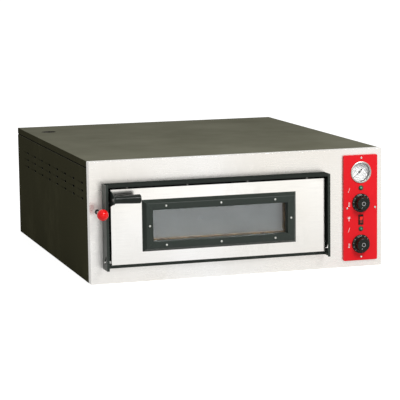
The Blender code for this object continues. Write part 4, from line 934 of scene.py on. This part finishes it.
def pilotLamps():
    # a dark collar round a domed lens whose face is cut in eight shallow facets
    look = {"collar": 0.0080, "bore": 0.0050, "lens": 0.0049, "dome": 0.0064, "facets": 8, "cut": 0.03}
    rim, bore, lens, dome = look["collar"], look["bore"], look["lens"], look["dome"]

    def facets(t, height):
        return 1 - look["cut"] * np.abs(np.sin(look["facets"] / 2 * t)) * (height > 0.003)

    for name in ("upper", "lower"):
        node = "pilot_lamp_" + name
        centre = (controlX, fasciaFace, middle(node)[2])
        collar = [(bore, 0.0018), (bore + 0.0006, 0.0026), (rim - 0.0010, 0.0025), (rim, 0.0016),
                  (rim, 0.0003), (bore, 0.0003), (bore, -0.024), (0, -0.024), (0, -0.020),
                  (0.0040, -0.020), (0.0040, 0.0006), (bore, 0.0010), (bore, 0.0018)]
        piece("pilot_collar_" + name, [lathe(collar, centre, toViewer, 40)], greenBezel, "housing",
              node)
        profile = [(0, dome), (0.0016, dome - 0.0002), (0.0031, dome - 0.0008), (0.0042, dome - 0.0019),
                   (lens - 0.0001, dome - 0.0034), (lens, 0.0012), (0.0, 0.0012)]
        piece("pilot_lens_" + name, [lathe(profile, centre, toViewer, 48, facets)], greenLens, "housing")


def rockerPaintedLightRed(pivot):
    # clear red moulding with painted light: lighter above the pivot, darker on the pressed half below it
    material, tree = newMaterial("rockerPaintedLightRed", (0.6, 0.006, 0.006), 0.0, 0.2, Specular_IOR_Level=0.3)
    place = put(tree, "SeparateXYZ")
    join(tree, objectPoint(tree), place.inputs[0])
    cloudy = noiseOf(tree, objectPoint(tree), 300.0, 2.0)
    height = maths(tree, "ADD", place.outputs["Z"], spread(tree, cloudy, 0.3, 0.7, -0.0003, 0.0003))
    # painted light: the half above the pivot is painted lighter than the half below
    upper = spread(tree, height, pivot - 0.0012, pivot + 0.0012, smooth=True)
    return surface(material, blendColours(tree, upper, (0.2, 0.012, 0.008), (0.86, 0.014, 0.008)), None,
                   cloudy, 0.000004)


def rockerSwitch():
    look = {"housingFold": 0.0006, "housingEdge": 0.0002, "rockerEdge": 0.0005}
    eased("switch_housing", glossBlack, look["housingFold"], look["housingEdge"])
    eased("switch_rocker", rockerPaintedLightRed(middle("switch_rocker")[2]), look["rockerEdge"], look["rockerEdge"])


def fasciaSigns():
    # small white signs beside the controls, each a flat outline a hair proud of the fascia
    look = {"x": 0.3716, "proud": 0.00006, "line": 0.0012, "strokes": (0.2525, 0.1225),
            "thermometers": (0.2065, 0.0715), "lamp": 0.1618}
    shapes = []

    def flat(outline):
        shapes.append(plate(np.array(outline) + (look["x"], 0), fasciaFace, fasciaFace - look["proud"]))

    def stroke(x0, z0, x1, z1, width=look["line"]):
        ahead = np.array([x1 - x0, z1 - z0])
        across = np.array([-ahead[1], ahead[0]]) / np.hypot(*ahead) * width / 2
        start, end = np.array([x0, z0]), np.array([x1, z1])
        flat([start - across, end - across, end + across, start + across])

    for z in look["strokes"]:
        stroke(-0.0026, z - 0.0074, 0.0026, z + 0.0074)
    for z in look["thermometers"]:
        flat(arcPoints((0, z - 0.0045), 0.0029, 0, 345, 24))
        stroke(0, z - 0.0040, 0, z + 0.0072, 0.0021)
        for up in (0.0004, 0.0030, 0.0056):
            stroke(0.0020, z + up, 0.0042, z + up, 0.0008)
    z = look["lamp"]
    flat(arcPoints((0, z), 0.0036, 0, 345, 24))
    for half, down, width in ((0.0018, 0.0058, 0.0016), (0.0014, 0.0082, 0.0012), (0.0009, 0.0102, 0.0009)):
        stroke(-half, z - down, half, z - down, width)
    for angle in (0, 45, 90, 135, 180):
        flat(bar(angle, 0.0047, 0.0066, 0.0009) + (0, z))
    piece("fascia_signs", shapes, printedWhite, "housing")


fasciaScrews()
gauge()
needleParts()
knobs()
pilotLamps()
rockerSwitch()
fasciaSigns()
print("control panel done")


finishes = [
    (chamberSheet, "chamber_shell stone_rail_1 stone_rail_2 stone_rail_3"),
    (mattBlack, "mouth_plate"),
    (wool, "insulation_blanket door_insulation"),
    (slab, "baking_stone_1 baking_stone_2"),
    (heater, "lower_element_1 lower_element_2 upper_element_1 upper_element_2"),
    (instrumentGlass, "chamber_lamp_glass gauge_glass"),
    (zincSheet, "chamber_lamp_housing thermostat_upper thermostat_lower base_rail_left base_rail_right "
                "partition_wall"),
    (sootySteel, "flue_duct damper_gate"),
    (pinSteel, "damper_rod hinge_pin_left hinge_pin_right"),
    (ovenGlass, "window_glass_outer"),
    (bakedGlass, "window_glass_inner"),
    (brownedSheet, "window_spacer"),
    (bezelSteel, "gauge_case"),
    (dialWhite, "gauge_dial terminal_block"),
    (blackPlastic, "gauge_needle cable_gland")]
finishOf = {node: material for material, names in finishes for node in names.split()}
for node, material in finishOf.items():
    nodes[node].data.materials.clear()
    nodes[node].data.materials.append(material)
for node in ("window_glass_outer", "window_glass_inner", "gauge_glass", "chamber_lamp_glass"):
    nodes[node].visible_shadow = False  # light passes a pane straight to what is behind it
print("node finishes set:", len(finishOf))


studio = {"worldDiffuse": 0.46, "floorGlow": 0.82, "floorMirrored": 0.5, "floorColour": 0.62,
          "floorReach": 40.0, "floorDrop": 0.0005, "aim": (0, -0.4, 0.2),
          "key": {"place": (1.3, -3.9, 3.2), "size": (1.7, 1.2), "power": 152.0},
          "fill": {"place": (-1.6, -4.8, 1.5), "size": (1.2, 1.2), "power": 32.0}}


def world():
    # plain soft light on the oven; seen directly, mirrored or through glass, the surroundings are white
    setting = bpy.data.worlds.new("studio")
    bpy.context.scene.world = setting
    setting.use_nodes = True
    tree = setting.node_tree
    background = tree.nodes["Background"]
    path = put(tree, "LightPath").outputs
    seen = maths(tree, "MAXIMUM", path["Is Camera Ray"],
                 maths(tree, "MAXIMUM", path["Is Glossy Ray"], path["Is Transmission Ray"]))
    join(tree, (1, 1, 1), background.inputs["Color"],
         spread(tree, seen, 0.0, 1.0, studio["worldDiffuse"], 1.0), background.inputs["Strength"])


def floor():
    # one broad flat sheet, bright enough to meet the white behind it, still darkened by the oven's shadow
    reach, z = studio["floorReach"], -studio["floorDrop"]
    mesh = bpy.data.meshes.new("floor")
    mesh.from_pydata([(-reach, -reach, z), (reach, -reach, z), (reach, reach, z), (-reach, reach, z)], [],
                     [[0, 1, 2, 3]])
    linked("floor", mesh)
    material, tree = newMaterial("paleFloor", (studio["floorColour"],) * 3, 0.0, 0.9, Specular_IOR_Level=0.0)
    shader = tree.nodes["Principled BSDF"]
    path = put(tree, "LightPath").outputs
    seen = maths(tree, "MAXIMUM", path["Is Camera Ray"], path["Is Transmission Ray"])
    glow = maths(tree, "MAXIMUM", times(tree, seen, studio["floorGlow"]),
                 times(tree, path["Is Glossy Ray"], studio["floorMirrored"]))
    join(tree, (1, 1, 1), shader.inputs["Emission Color"], glow, shader.inputs["Emission Strength"])
    mesh.materials.append(material)


def areaLight(name):
    look = studio[name]
    lamp = bpy.data.lights.new(name, "AREA")
    lamp.shape, (lamp.size, lamp.size_y), lamp.energy = "RECTANGLE", look["size"], look["power"]
    holder = linked(name, lamp)
    holder.location = look["place"]
    holder.rotation_euler = (Vector(studio["aim"]) - holder.location).to_track_quat("-Z", "Y").to_euler()


def camera():
    # in degrees: azimuth turns it round Z from the front, elevation lifts it, roll leans it over
    view = {"place": (-1.7541, -5.8475, 1.0622), "azimuth": -17.05, "elevation": 8.36, "roll": -0.72,
            "lens": 160.0}
    data = bpy.data.cameras.new("camera")
    data.lens, data.sensor_width, data.clip_end = view["lens"], 36.0, 200.0
    holder = linked("camera", data)
    a, e, roll = radians(view["azimuth"]), radians(view["elevation"]), radians(view["roll"])
    back, right = Vector((sin(a) * cos(e), -cos(a) * cos(e), sin(e))), Vector((cos(a), sin(a), 0))
    up = back.cross(right)
    turn = Matrix((cos(roll) * right + sin(roll) * up, cos(roll) * up - sin(roll) * right, back)).transposed()
    holder.matrix_world = Matrix.Translation(view["place"]) @ turn.to_4x4()
    bpy.context.scene.camera = holder


world()
floor()
areaLight("key")
areaLight("fill")
camera()
bpy.context.scene.view_settings.view_transform = "Standard"
print("stage done")
